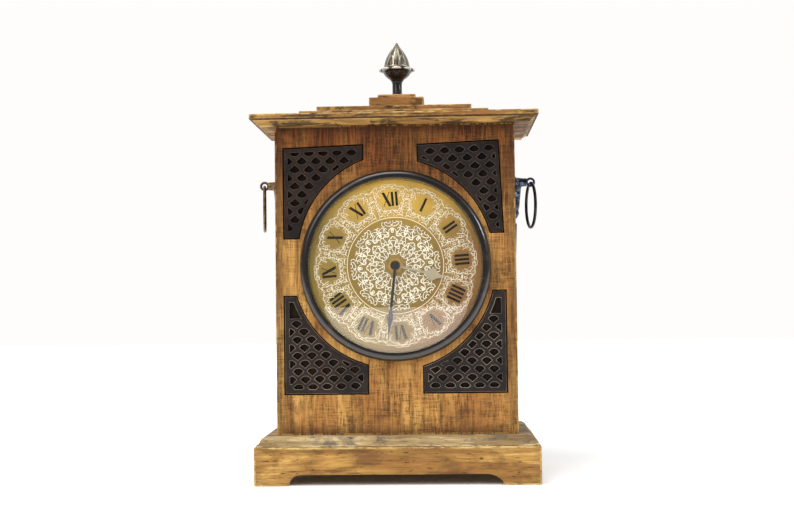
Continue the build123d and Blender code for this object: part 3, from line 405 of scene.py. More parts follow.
def fretPaint(name, hidden, edge):
    # dark painted iron, pale on its rounded edges, partly rubbed paint and partly painted highlight; hidden
    # is the object axis its faces look along
    p = Paint(name)
    at = p.place()
    flat = p.absolute(p.facing()["xyz".index(hidden)])
    cloud = p.noise(p.stretched(at, (1, 1, 1), 4.0), 60.0, 4, 0.6)
    fine = p.noise(p.stretched(at, (1, 1, 1), 9.0), 700.0, 3, 0.6)
    rim = p.step(flat, 0.22, 0.5) * p.below(flat, 0.86, 0.985)
    colour = p.mix(p.step(cloud, 0.35, 0.65), tint(20, 14, 11), tint(38, 29, 24))
    colour = p.mix(p.step(fine, 0.6, 0.75) * 0.5, colour, tint(82, 70, 62))
    # painted highlight, partly rubbed paint: the rounded edges of the holes turn pale
    colour = p.mix(rim * (0.4 + 0.55 * p.step(cloud, 0.36, 0.6)), colour, tint(*edge))
    # painted shade: faces seen edge on, the walls of the holes and the plate's sides, turn nearly black
    colour = p.mix(p.below(flat, 0.08, 0.2) * 0.95, colour, tint(8, 6, 5))
    return p.finish(colour, 0.4 + fine * 0.2, bump=(fine, 0.0002, 0.3), Metallic=0.2,
                    **{"Specular IOR Level": 0.3})


frets = {  # the axis that its faces look along, colour of its pale edges (rubbed paint and painted highlight), edge rounding and its steps
    "grille_top_left": ("y", (112, 76, 54), 0.5, 3),
    "grille_top_right": ("y", (112, 98, 88), 0.5, 3),
    "grille_bottom_left": ("y", (172, 150, 130), 0.5, 3),
    "grille_bottom_right": ("y", (184, 168, 152), 0.5, 3),
    "side_frets": ("x", (120, 100, 84), 0.35, 2),
}
for node, (hidden, colour, edge, steps) in frets.items():
    stand(eased(node, node + "_rounded", edge, steps), fretPaint(node + "_iron", hidden, colour), node=node)
print("fret pieces:", len(frets))


# bezel, glass seat and glass, heights in front of the case

bezelSizes = dict(outer=84.5, shoulder=3.6, inner=77.0, bore=79.6, lipBack=8.0, front=8.7, nose=0.5,
                  crest=0.45, bulge=(0.22, 0.72))
seatSizes = dict(outer=79.4, inner=75.6, lip=76.8, back=1.6, flat=2.8, front=6.0)
glassSizes = dict(edge=78.8, dome=76.8, back=6.0, thick=2.0, rise=6.0)


def makeBezel():
    s = bezelSizes
    outer, inner, front, nose = s["outer"], s["inner"], s["front"], s["nose"]
    shoulder, crest = (outer, s["shoulder"]), (inner + s["crest"] * (outer - inner), front)
    bulge = (outer - s["bulge"][0] * (outer - inner), s["shoulder"] + s["bulge"][1] * (front - s["shoulder"]))
    outline = [(outer, 0), shoulder, *arcThrough(shoulder, bulge, crest, 14), crest, (inner + nose, front),
               (inner + 0.2 * nose, front - 0.3 * nose), (inner, front - nose), (inner, s["lipBack"]),
               (s["bore"], s["lipBack"]), (s["bore"], 0)]
    p = Paint("bezel_enamel")
    wear = p.noise(p.place(), 90.0, 4, 0.65, 0.5)
    colour = p.mix(p.step(wear, 0.55, 0.72) * 0.6, tint(30, 24, 22), tint(78, 58, 42))
    paint = p.finish(colour, 0.24 + wear * 0.16, Metallic=0.3, **{"Coat Weight": 0.5, "Coat Roughness": 0.1})
    stand(shadeByAngle(lathe("bezel_turned", outline, 192, dialAxis), 50), paint, node="bezel")


def makeSeat():
    s = seatSizes
    outline = [(s["outer"], s["back"]), (s["outer"], s["front"]), (s["lip"], s["front"]),
               (s["inner"], s["flat"]), (s["inner"], s["back"])]
    paint = plainPaint("seat_brass", (150, 142, 82), 0.22, 0.85)
    stand(shadeByAngle(lathe("glass_seat_turned", outline, 192, dialAxis)), paint, node="glass_seat")


def makeGlass():
    s = glassSizes
    r, b, t, h = s["dome"], s["back"], s["thick"], s["rise"]
    inner, outer = [arcThrough((0, low + h), (r * sqrt(0.5), low + h / 2), (r, low), 20)
                    for low in (b, b + t)]
    outline = [(1e-6, b + h), *inner, (r, b), (s["edge"], b), (s["edge"], b + t), (r, b + t),
               *reversed(outer), (1e-6, b + t + h)]
    p = Paint("clear_glass")  # plain clear for shadow rays, so that the dial behind it stays lit
    glass = p.node("ShaderNodeBsdfPrincipled", {"Base Color": (1, 1, 1, 1), "Roughness": 0.0, "IOR": 1.5,
                                                "Transmission Weight": 1.0})
    clear = p.node("ShaderNodeBsdfTransparent", {0: (0.97, 0.97, 0.97, 1)})
    either = p.node("ShaderNodeMixShader", {0: p.ray("shadow"), 1: glass, 2: clear})
    p.node("ShaderNodeOutputMaterial", {0: either})
    stand(shadeByAngle(lathe("glass_dome", outline, 160, dialAxis), 40), p.material, node="glass")


makeBezel()
makeSeat()
makeGlass()
print("bezel and glass")


# dial: brass plate with raised scrolls, a ring line and numerals

dialSizes = dict(turn=4.5, face=1.6, ringRadius=42.6, ringWidth=0.5, numeralRadius=58.9, numeralHeight=12.6,
                 relief=0.16, black=0.12)
dialZones = dict(scrolls=(36.0, 38.5), middle=(40.5, 43.5), bandStart=(43.5, 46.0), bandEnd=(70.5, 73.0),
                 field=(8.8, 10.2))  # radii over which the brass changes its look; field: round each numeral
dialPlace = dialAxis @ Matrix.Rotation(radians(dialSizes["turn"]), 4, "Z") @ Matrix.Scale(mm, 4)


def dialPaint():
    p, zones = Paint("dial_brass"), dialZones
    x, z = p.axes(p.node("ShaderNodeMapping", {0: p.place(), 1: (0, 0, -dialHeight * mm)}))[::2]
    radius = (x * x + z * z) ** 0.5 * 1000
    cloud = p.noise(p.place(), 26.0, 3, 0.55)
    fine = p.noise(p.stretched(p.place(), (1, 1, 1), 5.0), 1000.0, 3, 0.6)
    lace = p.noise(p.stretched(p.place(), (1, 1, 1), 8.0), 900.0, 2, 0.6, 1.0)
    # painted light: the brass is brighter toward the top, and darker and more orange toward the right
    up = p.step(z * 1000 - p.absolute(x) * 250, 5.0, 78.0)
    across = p.step(x * 1000 - z * 500, -10.0, 80.0)
    colour = p.mix(across, tint(142, 116, 42), tint(134, 90, 36))
    colour = p.mix(up, colour, tint(228, 182, 68))
    colour = p.mix(p.below(radius, *zones["middle"]) * 0.55, colour, tint(128, 102, 34))
    colour = p.mix(p.step(cloud, 0.42, 0.68) * 0.35, colour, tint(138, 110, 44))
    # the band of lace, left plain in a round field behind each numeral
    turned = p.sum("ARCTAN2", x, z) + radians(dialSizes["turn"])
    turned = p.sum("WRAP", turned, pi / 12, -pi / 12)
    aside = p.sum("SINE", turned) * radius
    ahead = p.sum("COSINE", turned) * radius - dialSizes["numeralRadius"]
    field = p.step((aside * aside + ahead * ahead) ** 0.5 + lace * 1.5, *zones["field"])
    front = p.below(p.facing()[1], -0.9, -0.5)
    band = p.step(radius, *zones["bandStart"]) * p.below(radius, *zones["bandEnd"]) * field * front
    colour = p.mix(band * p.step(lace, 0.5, 0.6) * 0.6, colour, tint(206, 190, 146))
    colour = p.mix(band * p.step(1 - lace, 0.5, 0.62) * 0.5, colour, tint(120, 88, 52))
    dusted = front * p.below(radius, *zones["scrolls"]) * 0.25 * p.step(fine, 0.4, 0.6)
    colour = p.mix(dusted, colour, tint(206, 186, 132))
    return p.finish(colour, 0.34 + fine * 0.16, bump=(fine, 0.00006, 0.4), Metallic=0.45)


give(nodes["dial_plate"], dialPaint())


def scroll(x, y, heading, length, bend, curl, hook, steps=17):
    # a line that bends evenly (bend), winds up both ways like an S (curl) or the same way like a C (hook)
    def half(way):
        px, py, step, points = x, y, length / 2 / steps, []
        turn = heading if way > 0 else heading + pi
        for i in range(steps):
            u = (i + 0.5) / steps
            turn += (way * bend + curl * u + way * hook * u * u) * step
            px, py = px + step * cos(turn), py + step * sin(turn)
            points.append((px, py))
        return points
    return [*reversed(half(-1)), (x, y), *half(1)]


class Tree:
    # a Geometry Nodes tree; each node gets a key, and links name their source as (key, output)
    def __init__(self, name, inputs):
        self.tree = bpy.data.node_groups.new(name, "GeometryNodeTree")
        self.made = {}
        for label, kind in inputs.items():
            self.tree.interface.new_socket(label, in_out="INPUT", socket_type="NodeSocket" + kind)
        self.tree.interface.new_socket("Result", in_out="OUTPUT", socket_type="NodeSocketGeometry")
        self.add("NodeGroupInput", "in")

    def add(self, kind, key, links=None, **settings):
        node = self.made[key] = self.tree.nodes.new(kind)
        for setting, value in settings.items():
            setattr(node, setting, value)
        for socket, source in (links or {}).items():
            for one in source if isinstance(source, list) else [source]:
                if isinstance(one, tuple) and isinstance(one[0], str):
                    self.tree.links.new(self.made[one[0]].outputs[one[1]], node.inputs[socket])
                else:
                    node.inputs[socket].default_value = one

    def drive(self, piece, **values):  # puts the tree on a piece, with a value for each input after the first
        modifier = piece.modifiers.new(self.tree.name, "NODES")
        modifier.node_group = self.tree
        for socket in self.tree.interface.items_tree:
            if socket.in_out == "INPUT" and socket.name in values:
                modifier[socket.identifier] = values[socket.name]


# how much higher each line, and each mirrored or crossing one, lies than the last, so that none share a face
lineRise, crossRise = 0.008, 0.004  # millimetres


def roundTree():
    # lines of one sector -> raised wires, with their mirror image, repeated round the axis
    inputs = dict(Lines="Geometry", Count="Int", Width="Float", Height="Float", Finish="Material")
    tree = Tree("wires_round_the_dial", inputs)
    add = tree.add
    add("GeometryNodeCurvePrimitiveQuadrilateral", "section", {0: ("in", 2), 1: ("in", 3)})
    add("GeometryNodeCurveToMesh", "wires", {"Curve": ("in", 0), "Profile Curve": ("section", 0),
                                             "Fill Caps": True})
    add("GeometryNodeTransform", "mirrored", {"Geometry": ("wires", 0), "Scale": (-1, 1, 1),
                                              "Translation": (0, 0, crossRise)})
    add("GeometryNodeFlipFaces", "righted", {"Mesh": ("mirrored", 0)})
    add("GeometryNodeJoinGeometry", "sector", {0: [("wires", 0), ("righted", 0)]})
    add("GeometryNodePoints", "spots", {"Count": ("in", 1)})
    add("GeometryNodeInputIndex", "index")
    add("ShaderNodeMath", "part", {0: ("index", 0), 1: ("in", 1)}, operation="DIVIDE")
    add("ShaderNodeMath", "angle", {0: ("part", 0), 1: 2 * pi}, operation="MULTIPLY")
    add("ShaderNodeCombineXYZ", "turn", {"Z": ("angle", 0)})
    add("GeometryNodeInstanceOnPoints", "copies", {"Points": ("spots", 0), "Instance": ("sector", 0),
                                                   "Rotation": ("turn", 0)})
    add("GeometryNodeRealizeInstances", "real", {0: ("copies", 0)})
    add("GeometryNodeSetMaterial", "coloured", {"Geometry": ("real", 0), "Material": ("in", 4)})
    add("NodeGroupOutput", "out", {0: ("coloured", 0)})
    return tree


def repeatRound(name, lines, count, finish, width, height, place, tree):
    curve = bpy.data.curves.new(name, "CURVE")
    curve.dimensions, curve.twist_mode = "3D", "Z_UP"
    for number, line in enumerate(lines):
        spline = curve.splines.new("POLY")
        spline.points.add(len(line) - 1)
        for point, (x, y) in zip(spline.points, line):
            point.co = (x, y, lineRise * number, 1)
    holder = newPiece(name + "_lines", curve)
    tree.drive(holder, Count=count, Width=width, Height=height, Finish=finish)
    piece = settle(holder, name)
    piece.data.transform(place)
    stand(piece, finish)


# turn in degrees; scrolls of one half sector: radius, angle and heading from there in degrees, length, bend,
# curl, hook; wire and shadowEdge: widths of the cream wire and of the dark edge under it, which is partly the
# engraved outline and partly painted shadow
scrollBooks = {
    "centre": dict(count=8, turn=0, wire=0.64, shadowEdge=1.4, scrolls=[
        (35.6, 6.4, 30, 12, 0.1, 0, 1.6), (34.6, 17.6, 160, 11, 0.12, 0, 1.6),
        (37.4, 13.6, 86, 7, 0.3, 0, 1.4), (34.0, 21.4, 60, 8, 0, 1.7, 0), (31.6, 1.8, 100, 8, 0.3, 0, 1.5),
        (29.6, 6.4, 96, 13, 0, 1.15, 0), (29.2, 15.4, 38, 13, 0, -1.15, 0),
        (31.8, 11.6, 70, 8, 0.25, 0, -1.7), (30.2, 20.8, 92, 8, 0, 1.7, 0),
        (24.4, 5.0, 140, 11, 0.12, 0, 1.6), (23.4, 17.5, 60, 12, 0, 1.15, 0),
        (26.0, 11.0, 5, 8, 0.3, 0, 1.4), (26.4, 20.6, 20, 6, 0.35, 0, 1.7), (19.4, 4.4, 58, 10, 0, 1.4, 0),
        (18.4, 15.0, 128, 10, 0.12, 0, 1.9), (21.2, 11.0, 88, 7, 0, 1.9, 0),
        (14.4, 6.4, 76, 8, 0.14, 0, -2.0), (13.6, 18.0, 84, 7, 0, 1.9, 0), (10.2, 12.0, 30, 7, 0.2, 0, 1.9),
        (20.6, 21.0, 70, 6, 0.3, 0, 1.8), (37.8, 4.0, 0, 6, 0.4, 0, 1.4), (16.4, 11.4, 20, 6, 0.35, 0, 1.8),
        (33.2, 13.0, 140, 7, 0.25, 0, 1.7)]),
    "band": dict(count=12, turn=15, wire=0.42, shadowEdge=0, scrolls=[
        (49.0, 3.0, 62, 12, 0, 1.1, 0), (53.2, 3.4, 118, 10, 0, -1.3, 0), (57.0, 2.6, 74, 11, 0, 1.3, 0),
        (61.0, 3.4, 112, 10, 0, -1.3, 0), (65.0, 3.2, 66, 11, 0, 1.3, 0), (69.0, 3.0, 30, 9, 0.15, 0, -1.6),
        (46.8, 8.0, 4, 10, 0.1, 0, 1.6), (46.6, 13.4, 14, 8, 0, 1.5, 0), (70.2, 9.0, 6, 10, 0.12, 0, -1.6),
        (70.0, 13.6, -12, 9, 0, 1.5, 0), (66.8, 6.8, 52, 8, 0, -1.7, 0), (49.8, 6.6, 122, 8, 0, 1.8, 0),
        (51.6, 6.0, 60, 6, 0.3, 0, 2.0), (63.4, 6.2, 112, 6, 0.3, 0, -2.2), (45.0, 5.0, 2, 7, 0.1, 0, -2.2),
        (72.0, 12.0, 2, 7, 0.1, 0, -2.2), (59.0, 0.9, 30, 4.4, 1.42, 0, 0), (48.6, 11.0, 10, 7, 0.2, 0, -2.0),
        (68.0, 11.4, 8, 7, 0.2, 0, 2.0), (55.2, 1.0, 90, 5, 0.5, 0, 1.6), (62.8, 1.0, 90, 5, 0.5, 0, 1.6)]),
}


def makeScrolls():
    tree = roundTree()
    p = Paint("cream_enamel")
    fine = p.noise(p.place(), 420.0, 3, 0.6)
    cream = p.finish(p.mix(fine, tint(222, 208, 170), tint(250, 244, 226)), 0.45)
    s = dialSizes
    place = dialPlace @ Matrix.Translation((0, 0, s["face"] + s["relief"] / 2))
    # painted shadow, partly the engraved outline: the dark edge round each centre scroll
    shade = plainPaint("scroll_shadow_edge", (92, 72, 28), 0.5)
    for name, book in scrollBooks.items():
        lines = []
        for radius, angle, heading, *shape in book["scrolls"]:
            a = radians(angle)
            lines.append(scroll(radius * sin(a), radius * cos(a), radians(heading) - a, *shape))
        turned = place @ Matrix.Rotation(radians(book["turn"]), 4, "Z")
        repeatRound("scrolls_" + name, lines, book["count"], cream, book["wire"], s["relief"], turned, tree)
        if book["shadowEdge"]:  # a dark edge under each wire, partly the engraved outline and partly painted shadow
            low = turned @ Matrix.Translation((0, 0, -0.1)) @ Matrix.Diagonal((1, 1, 0.2, 1))
            repeatRound("grooves_" + name, lines, book["count"], shade, book["shadowEdge"], 0.2, low, tree)
    r, w, low, high = s["ringRadius"], s["ringWidth"] / 2, s["face"], s["face"] + s["relief"]
    ring = lathe("dial_ring_line", [(r + w, low), (r + w, high), (r - w, high), (r - w, low)], 160, dialAxis)
    stand(shadeByAngle(ring), cream)


numeralStrokes = dict(thick=2.1, diagonal=2.6, hair=0.6, gap=3.6, leg=2.8, letterGap=1.1, firstGap=0.6,
                      lean=0.25, serif=0.9, serifThick=0.3)


def numeralShapes(text, height):
    # strokes as (x0, y0, x1, y1, width), centred on the numeral
    s = numeralStrokes
    low, high = -height / 2, height / 2
    strokes, x, before = [], 0.0, None
    for letter in text:
        if letter == "I":
            x += s["gap"] if before == "I" else (s["gap"] / 2 + (s["firstGap"] if before else 0.0))
            strokes.append((x, low, x, high, s["thick"]))
        else:
            x += s["leg"] + (s["letterGap"] if before else 0.0) + (s["thick"] / 2 if before == "I" else 0.0)
            left, right = x - s["leg"], x + s["leg"]
            if letter == "V":
                strokes += [(left, high, x, low, s["diagonal"]), (right, high, x + s["lean"], low, s["hair"])]
            else:
                strokes += [(left, high, right, low, s["diagonal"]), (right, high, left, low, s["hair"])]
            y = high - s["serifThick"] / 2
            strokes += [(end - s["serif"], y, end + s["serif"], y, s["serifThick"]) for end in (left, right)]
            x += s["leg"]
        before = letter
    ends = [x for stroke in strokes for x in (stroke[0], stroke[2])]
    middle = (min(ends) + max(ends)) / 2
    return [(a - middle, b, c - middle, d, w) for a, b, c, d, w in strokes]


def makeNumerals():
    s = dialSizes
    shape = bmesh.new()
    for hour, text in enumerate("XII I II III IIII V VI VII VIII IX X XI".split()):
        turn = Matrix.Rotation(-2 * pi * hour / 12, 4, "Z") @ Matrix.Translation((0, s["numeralRadius"], 0))
        for number, (ax, ay, bx, by, width) in enumerate(numeralShapes(text, s["numeralHeight"])):
            if ax == bx or ay == by:
                size = hypot(bx - ax, by - ay)
                nx, ny = -(by - ay) / size * width / 2, (bx - ax) / size * width / 2
            else:  # a diagonal is cut level at its ends
                nx, ny = width / 2, 0.0
            top = s["face"] + s["black"] + crossRise * (number % 3)
            corners = [(ax + nx, ay + ny), (ax - nx, ay - ny), (bx - nx, by - ny), (bx + nx, by + ny)]
            floor, roof = [[shape.verts.new(turn @ Vector((x, y, z))) for x, y in corners]
                           for z in (s["face"], top)]
            shape.faces.new(floor)
            shape.faces.new(roof)
            for i in range(4):
                j = (i + 1) % 4
                shape.faces.new((floor[i], floor[j], roof[j], roof[i]))
    bmesh.ops.recalc_face_normals(shape, faces=shape.faces)
    paint = plainPaint("numeral_black", (12, 6, 2), 0.7, **{"Specular IOR Level": 0.1})
    stand(meshPiece("hour_numerals", shape, dialPlace), paint)


makeScrolls()
makeNumerals()
give(nodes["dial_nut"], plainPaint("nut_brass", (196, 156, 78), 0.3, 0.8))
give(nodes["hour_hand"], plainPaint("hour_hand_satin", (176, 164, 136), 0.34, 0.55))
give(nodes["minute_hand"], plainPaint("minute_hand_black", (46, 38, 36), 0.35, 0.3))
give(nodes["hand_nut"], plainPaint("hand_nut_black", (30, 26, 28), 0.3, 0.4))
print("dial")


# finial

finialSizes = dict(x=1.3, foot=350.6, cupHeight=27.6, budHeight=23.4, budRadius=12.4, footRadius=7.2,
                   footHeight=1.2, stem=4.45, stemFoot=3.4, stemTop=11.6, hip=8.3, hipHeight=17.5, bowl=12.9,
                   bowlTop=23.2, rim=17.1, rimLow=24.2, rimHigh=25.6)
# the bud's outline, as shares of its radius and height
budShape = dict(foot=(0.98, 0.0), widest=(1.0, 0.06), side=(0.80, 0.41), neck=(0.32, 0.78),
                throat=(0.18, 0.88), tip=(0.06, 1.0))
# leaves round the cup and the bud: how many, how deep the gaps between them are, and over which share of the
# height; rows: foot and tip of each ring of leaves
leafSizes = dict(cup=8, cupDepth=0.6, cupFrom=(0.42, 0.88), cupRows=((0.40, 0.76), (0.55, 0.94)),
                 rimFrom=0.848, bud=6, budDepth=1.1, budShare=0.11,
                 budRows=((-0.12, 0.46), (0.03, 0.86), (0.36, 1.0)))
# one leaf: how wide its foot is, how it swells and tapers, how high its middle, edges and rib stand, how wide
# the rib is, and how much lower it stands at its foot than at its tip
leafShape = dict(foot=0.5, swell=0.6, taper=0.62, width=1.18, middle=0.55, edge=0.3, rib=0.15, ribWidth=0.18,
                 lean=0.25)


def darkCast(name, colour, hollow, rub, roughness, metallic, coat=0.5, tips=None):
    # cast metal, darker where the relief is deep, and pale past the radius in tips as a painted highlight on
    # the rim
    p = Paint(name)
    at = p.place()
    deep = p.node("ShaderNodeAttribute", out=2, attribute_name="hollow")
    cloud = p.noise(at, 260.0, 4, 0.62)
    base = p.mix(p.step(deep + cloud * 0.16, 0.3, 0.55), tint(*rub), tint(*colour))
    base = p.mix(p.step(deep, 0.66, 0.95), base, tint(*hollow))
    # painted highlight: the rim's leaf tips turn pale, as where light falls on them
    if tips:
        x, y = p.axes(p.node("ShaderNodeMapping", {0: at, 1: (-finialSizes["x"] * mm, 0, 0)}))[:2]
        base = p.mix(p.step((x * x + y * y) ** 0.5 * 1000, *tips), base, tint(206, 200, 192))
    return p.finish(base, roughness + cloud * 0.12, bump=(cloud, 0.0003, 0.3),
                    **{"Metallic": metallic, "Coat Weight": coat, "Coat Roughness": 0.14})


def leaves(turn, height, rows, count):
    # how high rings of pointed leaves stand at a place, from 0 between them
    s, best = leafShape, 0.0
    for number, (foot, tip) in enumerate(rows):
        if not foot <= height <= tip:
            continue
        t = (height - foot) / (tip - foot)
        wide = (s["foot"] + s["swell"] * t) * (1 - t) ** s["taper"] * s["width"]
        # every other ring is shifted by half a leaf
        around = (turn * count / (2 * pi) + 0.5 * ((number + 1) % 2)) % 1.0 - 0.5
        u = abs(around) * 2 / max(wide, 1e-6)
        if u < 1:
            blade = s["middle"] + s["edge"] * u * u + s["rib"] * max(0.0, 1 - u / s["ribWidth"])
            best = max(best, blade * (1 - s["lean"] + s["lean"] * t))
    return best


def makeFinial():
    s = finialSizes
    h, bowl, rim, stem = s["cupHeight"], s["bowl"], s["rim"], s["stem"]
    stemTop, hip, bowlTop = (stem, s["stemTop"]), (s["hip"], s["hipHeight"]), (bowl, s["bowlTop"])
    hollow = (stem + 0.29 * (hip[0] - stem), stemTop[1] + 0.56 * (hip[1] - stemTop[1]))
    swell = (hip[0] + 0.63 * (bowl - hip[0]), hip[1] + 0.47 * (bowlTop[1] - hip[1]))
    low, high = s["rimLow"], s["rimHigh"]
    outline = [(1e-6, 0), (s["footRadius"], 0), (s["footRadius"], s["footHeight"]),
               (stem + 0.5, s["stemFoot"] - 0.7), (stem, s["stemFoot"]),
               stemTop, *arcThrough(stemTop, hollow, hip, 12), hip, *arcThrough(hip, swell, bowlTop, 14),
               bowlTop, ((bowl + rim) / 2, low - 0.4), (rim - 0.4, low), (rim, high - 0.5), (rim - 0.1, high),
               (rim - 1.2, high + 0.6), (s["budRadius"], h), (1e-6, h)]

    cupRows = [(foot * h, tip * h) for foot, tip in leafSizes["cupRows"]]

    def cupRelief(turn, radius, height):
        start, end = (share * h for share in leafSizes["cupFrom"])
        if height < start or radius < 4.5:
            return 0.0, 0.5
        if height > leafSizes["rimFrom"] * h:  # the rim is cut into leaf tips
            return max(0.0, radius - bowl) * 0.5 * (0.5 - 0.5 * cos(leafSizes["cup"] * turn)) ** 1.3, 0.5
        share = min(1.0, 3 * (height - start) / (end - start))
        gap = 1 - leaves(turn, height, cupRows, leafSizes["cup"])
        return leafSizes["cupDepth"] * share * gap, 0.5 + share * (gap - 0.5)

    place = Matrix.Translation((s["x"] * mm, 0, s["foot"] * mm))
    cup = shadeByAngle(lathe("finial_cup_cast", outline, 160, place, cupRelief), 60)
    paint = darkCast("finial_dark", (30, 24, 22), (10, 8, 8), (58, 46, 40), 0.3, 0.4, 0.16, (14.9, 16.2))
    stand(cup, paint, node="finial_cup")

    r, b = s["budRadius"], s["budHeight"]
    foot, widest, side, neck, throat, tip = [(out * r, up * b) for out, up in budShape.values()]
    outline = [(1e-6, 0), foot, widest, *arcThrough(widest, side, neck, 44), neck,
               *arcThrough(neck, throat, tip, 12), tip, (1e-6, b)]
    budRows = [(foot * b, tip * b) for foot, tip in leafSizes["budRows"]]

    def budRelief(turn, radius, height):
        if radius < 0.9 or height < 0.02 * b:
            return 0.0, 0.3
        gap = 1 - leaves(turn, height, budRows, leafSizes["bud"])
        return min(leafSizes["budDepth"], leafSizes["budShare"] * radius) * gap, gap

    place = Matrix.Translation((s["x"] * mm, 0, (s["foot"] + s["cupHeight"]) * mm))
    bud = shadeByAngle(lathe("finial_bud_cast", outline, 192, place, budRelief), 60)
    paint = darkCast("finial_silver", (82, 74, 62), (16, 13, 11), (212, 200, 172), 0.24, 0.6)
    stand(bud, paint, node="finial_bud")


makeFinial()
print("finial")


# side handles

handleSizes = dict(eyeX=124.0, ringMiddle=247.6, ringRadius=20.6, wire=1.4, wireSides=20, turn=8.0,
                   grain=0.32)
# the uneven cast surface: how far bumps rise, where they are and how wide, and between which x they show
castSizes = dict(rise=0.42, bumps=60, across=(-9, 9), up=(232, 276), wide=(1.4, 3.0), plate=(106.9, 118.0))


def castPaint(name, colour, rub, shine):
    p = Paint(name)
    cloud = p.noise(p.place(), 190.0, 4, 0.65)
    fine = p.noise(p.place(), 900.0, 3, 0.6)
    base = p.mix(p.step(cloud, 0.42, 0.68), tint(*colour), tint(*rub))
    return p.finish(base, shine + fine * 0.22, bump=(cloud, 0.0004, 0.5), Metallic=0.8)


def makeEscutcheon(node, paint):
    piece = nodeCopy(node, node + "_cast")
    remesh = piece.modifiers.new("skin", "REMESH")
    remesh.mode, remesh.voxel_size, remesh.use_smooth_shade = "VOXEL", handleSizes["grain"] * mm, True
    softer = piece.modifiers.new("soften", "SMOOTH")
    softer.factor, softer.iterations = 0.5, 1
    settle(piece)
    s = castSizes
    chance = Random(4)
    bumps = [[chance.uniform(*s[key]) for key in ("across", "up", "wide")] for _ in range(s["bumps"])]
    outward = [vert.normal.copy() for vert in piece.data.vertices]
    for vert, normal in zip(piece.data.vertices, outward):
        x, y, z = (c / mm for c in vert.co)
        if s["plate"][0] < abs(x) < s["plate"][1]:
            rise = sum(max(0.0, 1 - hypot(y - a, z - b) / c) for a, b, c in bumps)
            vert.co -= normal * (s["rise"] * mm * min(1.5, rise))
    stand(piece, paint, node=node)


def makeRing(name, side, node, paint):
    s = handleSizes
    turns = [2 * pi * i / s["wireSides"] for i in range(s["wireSides"])]
    line = [(s["ringRadius"] + s["wire"] * cos(a), s["wire"] * sin(a)) for a in turns]
    place = (Matrix.Translation((side * s["eyeX"] * mm, 0, s["ringMiddle"] * mm))
             @ Matrix.Rotation(radians(s["turn"]), 4, "Z") @ Matrix.Rotation(pi / 2, 4, "Y"))
    stand(shadeByAngle(lathe(name, line, 128, place), 80), paint, body=node, node=node)


gunmetal = castPaint("handle_gunmetal", (34, 37, 46), (84, 94, 112), 0.2)
bronze = castPaint("handle_bronze", (86, 66, 46), (128, 104, 74), 0.28)
makeEscutcheon("left_handle_plate", bronze)
makeEscutcheon("right_handle_plate", gunmetal)
makeRing("left_ring_round", -1, "left_ring", bronze)
makeRing("right_ring_round", 1, "right_ring", plainPaint("ring_black", (36, 35, 38), 0.3, 0.75))
print("handles")


# fittings and movement keep the CAD shapes

steel = plainPaint("bright_steel", (168, 168, 170), 0.3, 0.9)
brass = plainPaint("fitting_brass", (186, 148, 82), 0.32, 0.85)
agedBrass = castPaint("hinge_brass", (132, 104, 62), (170, 138, 84), 0.34)
black = plainPaint("black_plastic", (34, 34, 36), 0.5)
white = plainPaint("white_nylon", (226, 224, 216), 0.45)
finishes = {
    agedBrass: "hinge_leaves_case hinge_leaves_door hinge_pins door_knob",
    steel: "finial_stud finial_nut handle_nuts stator battery_contacts",
    brass: "minute_arbor hour_wheel centre_wheel",
    white: "minute_wheel set_knob third_wheel seconds_wheel intermediate_wheel rotor",
    black: "movement_case movement_cover",
    plainPaint("insert_tin", (150, 148, 140), 0.35, 0.8): "insert_ring",
    plainPaint("magnet_dark", (60, 60, 64), 0.4, 0.5): "catch_magnet",
    plainPaint("coil_copper", (176, 96, 50), 0.35, 0.7): "coil",
    plainPaint("board_green", (40, 88, 56), 0.45): "circuit_board",
    plainPaint("cell_sleeve", (70, 74, 80), 0.35, 0.4): "battery",
}
for finish, names in finishes.items():
    for node in names.split():
        give(nodes[node], finish)
print("finishes of fittings:", len(finishes))


# screws of the two hinges, one piece on each body

def screwTree():  # a copy of the head at every place, each turned its own way
    tree = Tree("screws_on_leaves", dict(Places="Geometry", Screw="Object", Finish="Material"))
    add = tree.add
    add("GeometryNodeObjectInfo", "head", {"Object": ("in", 1)})
    add("FunctionNodeRandomValue", "chance", {"Max": pi, "Seed": 3})
    add("ShaderNodeCombineXYZ", "turn", {"Y": ("chance", 1)})
    add("GeometryNodeInstanceOnPoints", "copies", {"Points": ("in", 0), "Instance": ("head", "Geometry"),
                                                   "Rotation": ("turn", 0)})
    add("GeometryNodeRealizeInstances", "real", {0: ("copies", 0)})
    add("GeometryNodeSetMaterial", "coloured", {0: ("real", 0), "Material": ("in", 2)})
    add("NodeGroupOutput", "out", {0: ("coloured", 0)})
    return tree


# holes: how far from the pin and from the leaf's middle each screw stands
screwSizes = dict(radius=1.7, height=0.35, slot=0.5, depth=0.28, steps=12, pinX=74.5, leafFace=56.0,
                  hinges=(110.0, 250.0), holes=((10.6, -8.5), (5.6, 0.0), (10.6, 8.5)))


def screwHead():  # a slotted head in the XZ plane, facing +Y
    s = screwSizes
    r, w, low, high = s["radius"], s["slot"] / 2, s["height"] - s["depth"], s["height"]
    shape = bmesh.new()
    half = sqrt(r * r - w * w)
    start, count = atan2(w, half), s["steps"] + 1
    turns = [start + (pi - 2 * start) * i / s["steps"] for i in range(count)]
    for side in (r, -r):
        wall = [[shape.verts.new((side * cos(a), y, side * sin(a))) for a in turns] for y in (0.0, high)]
        shape.faces.new(wall[0])
        shape.faces.new(wall[1])
        for i in range(count):
            j = (i + 1) % count
            shape.faces.new((wall[0][i], wall[0][j], wall[1][j], wall[1][i]))
    floor = [shape.verts.new((x, y, z)) for x in (-half, half) for y in (0.0, low) for z in (-w, w)]
    for a, b, c, d in ((0, 1, 3, 2), (4, 6, 7, 5), (0, 4, 5, 1), (2, 3, 7, 6), (0, 2, 6, 4), (1, 5, 7, 3)):
        shape.faces.new([floor[i] for i in (a, b, c, d)])
    bmesh.ops.recalc_face_normals(shape, faces=shape.faces)
    return meshPiece("screw_head", shape, Matrix.Scale(mm, 4))


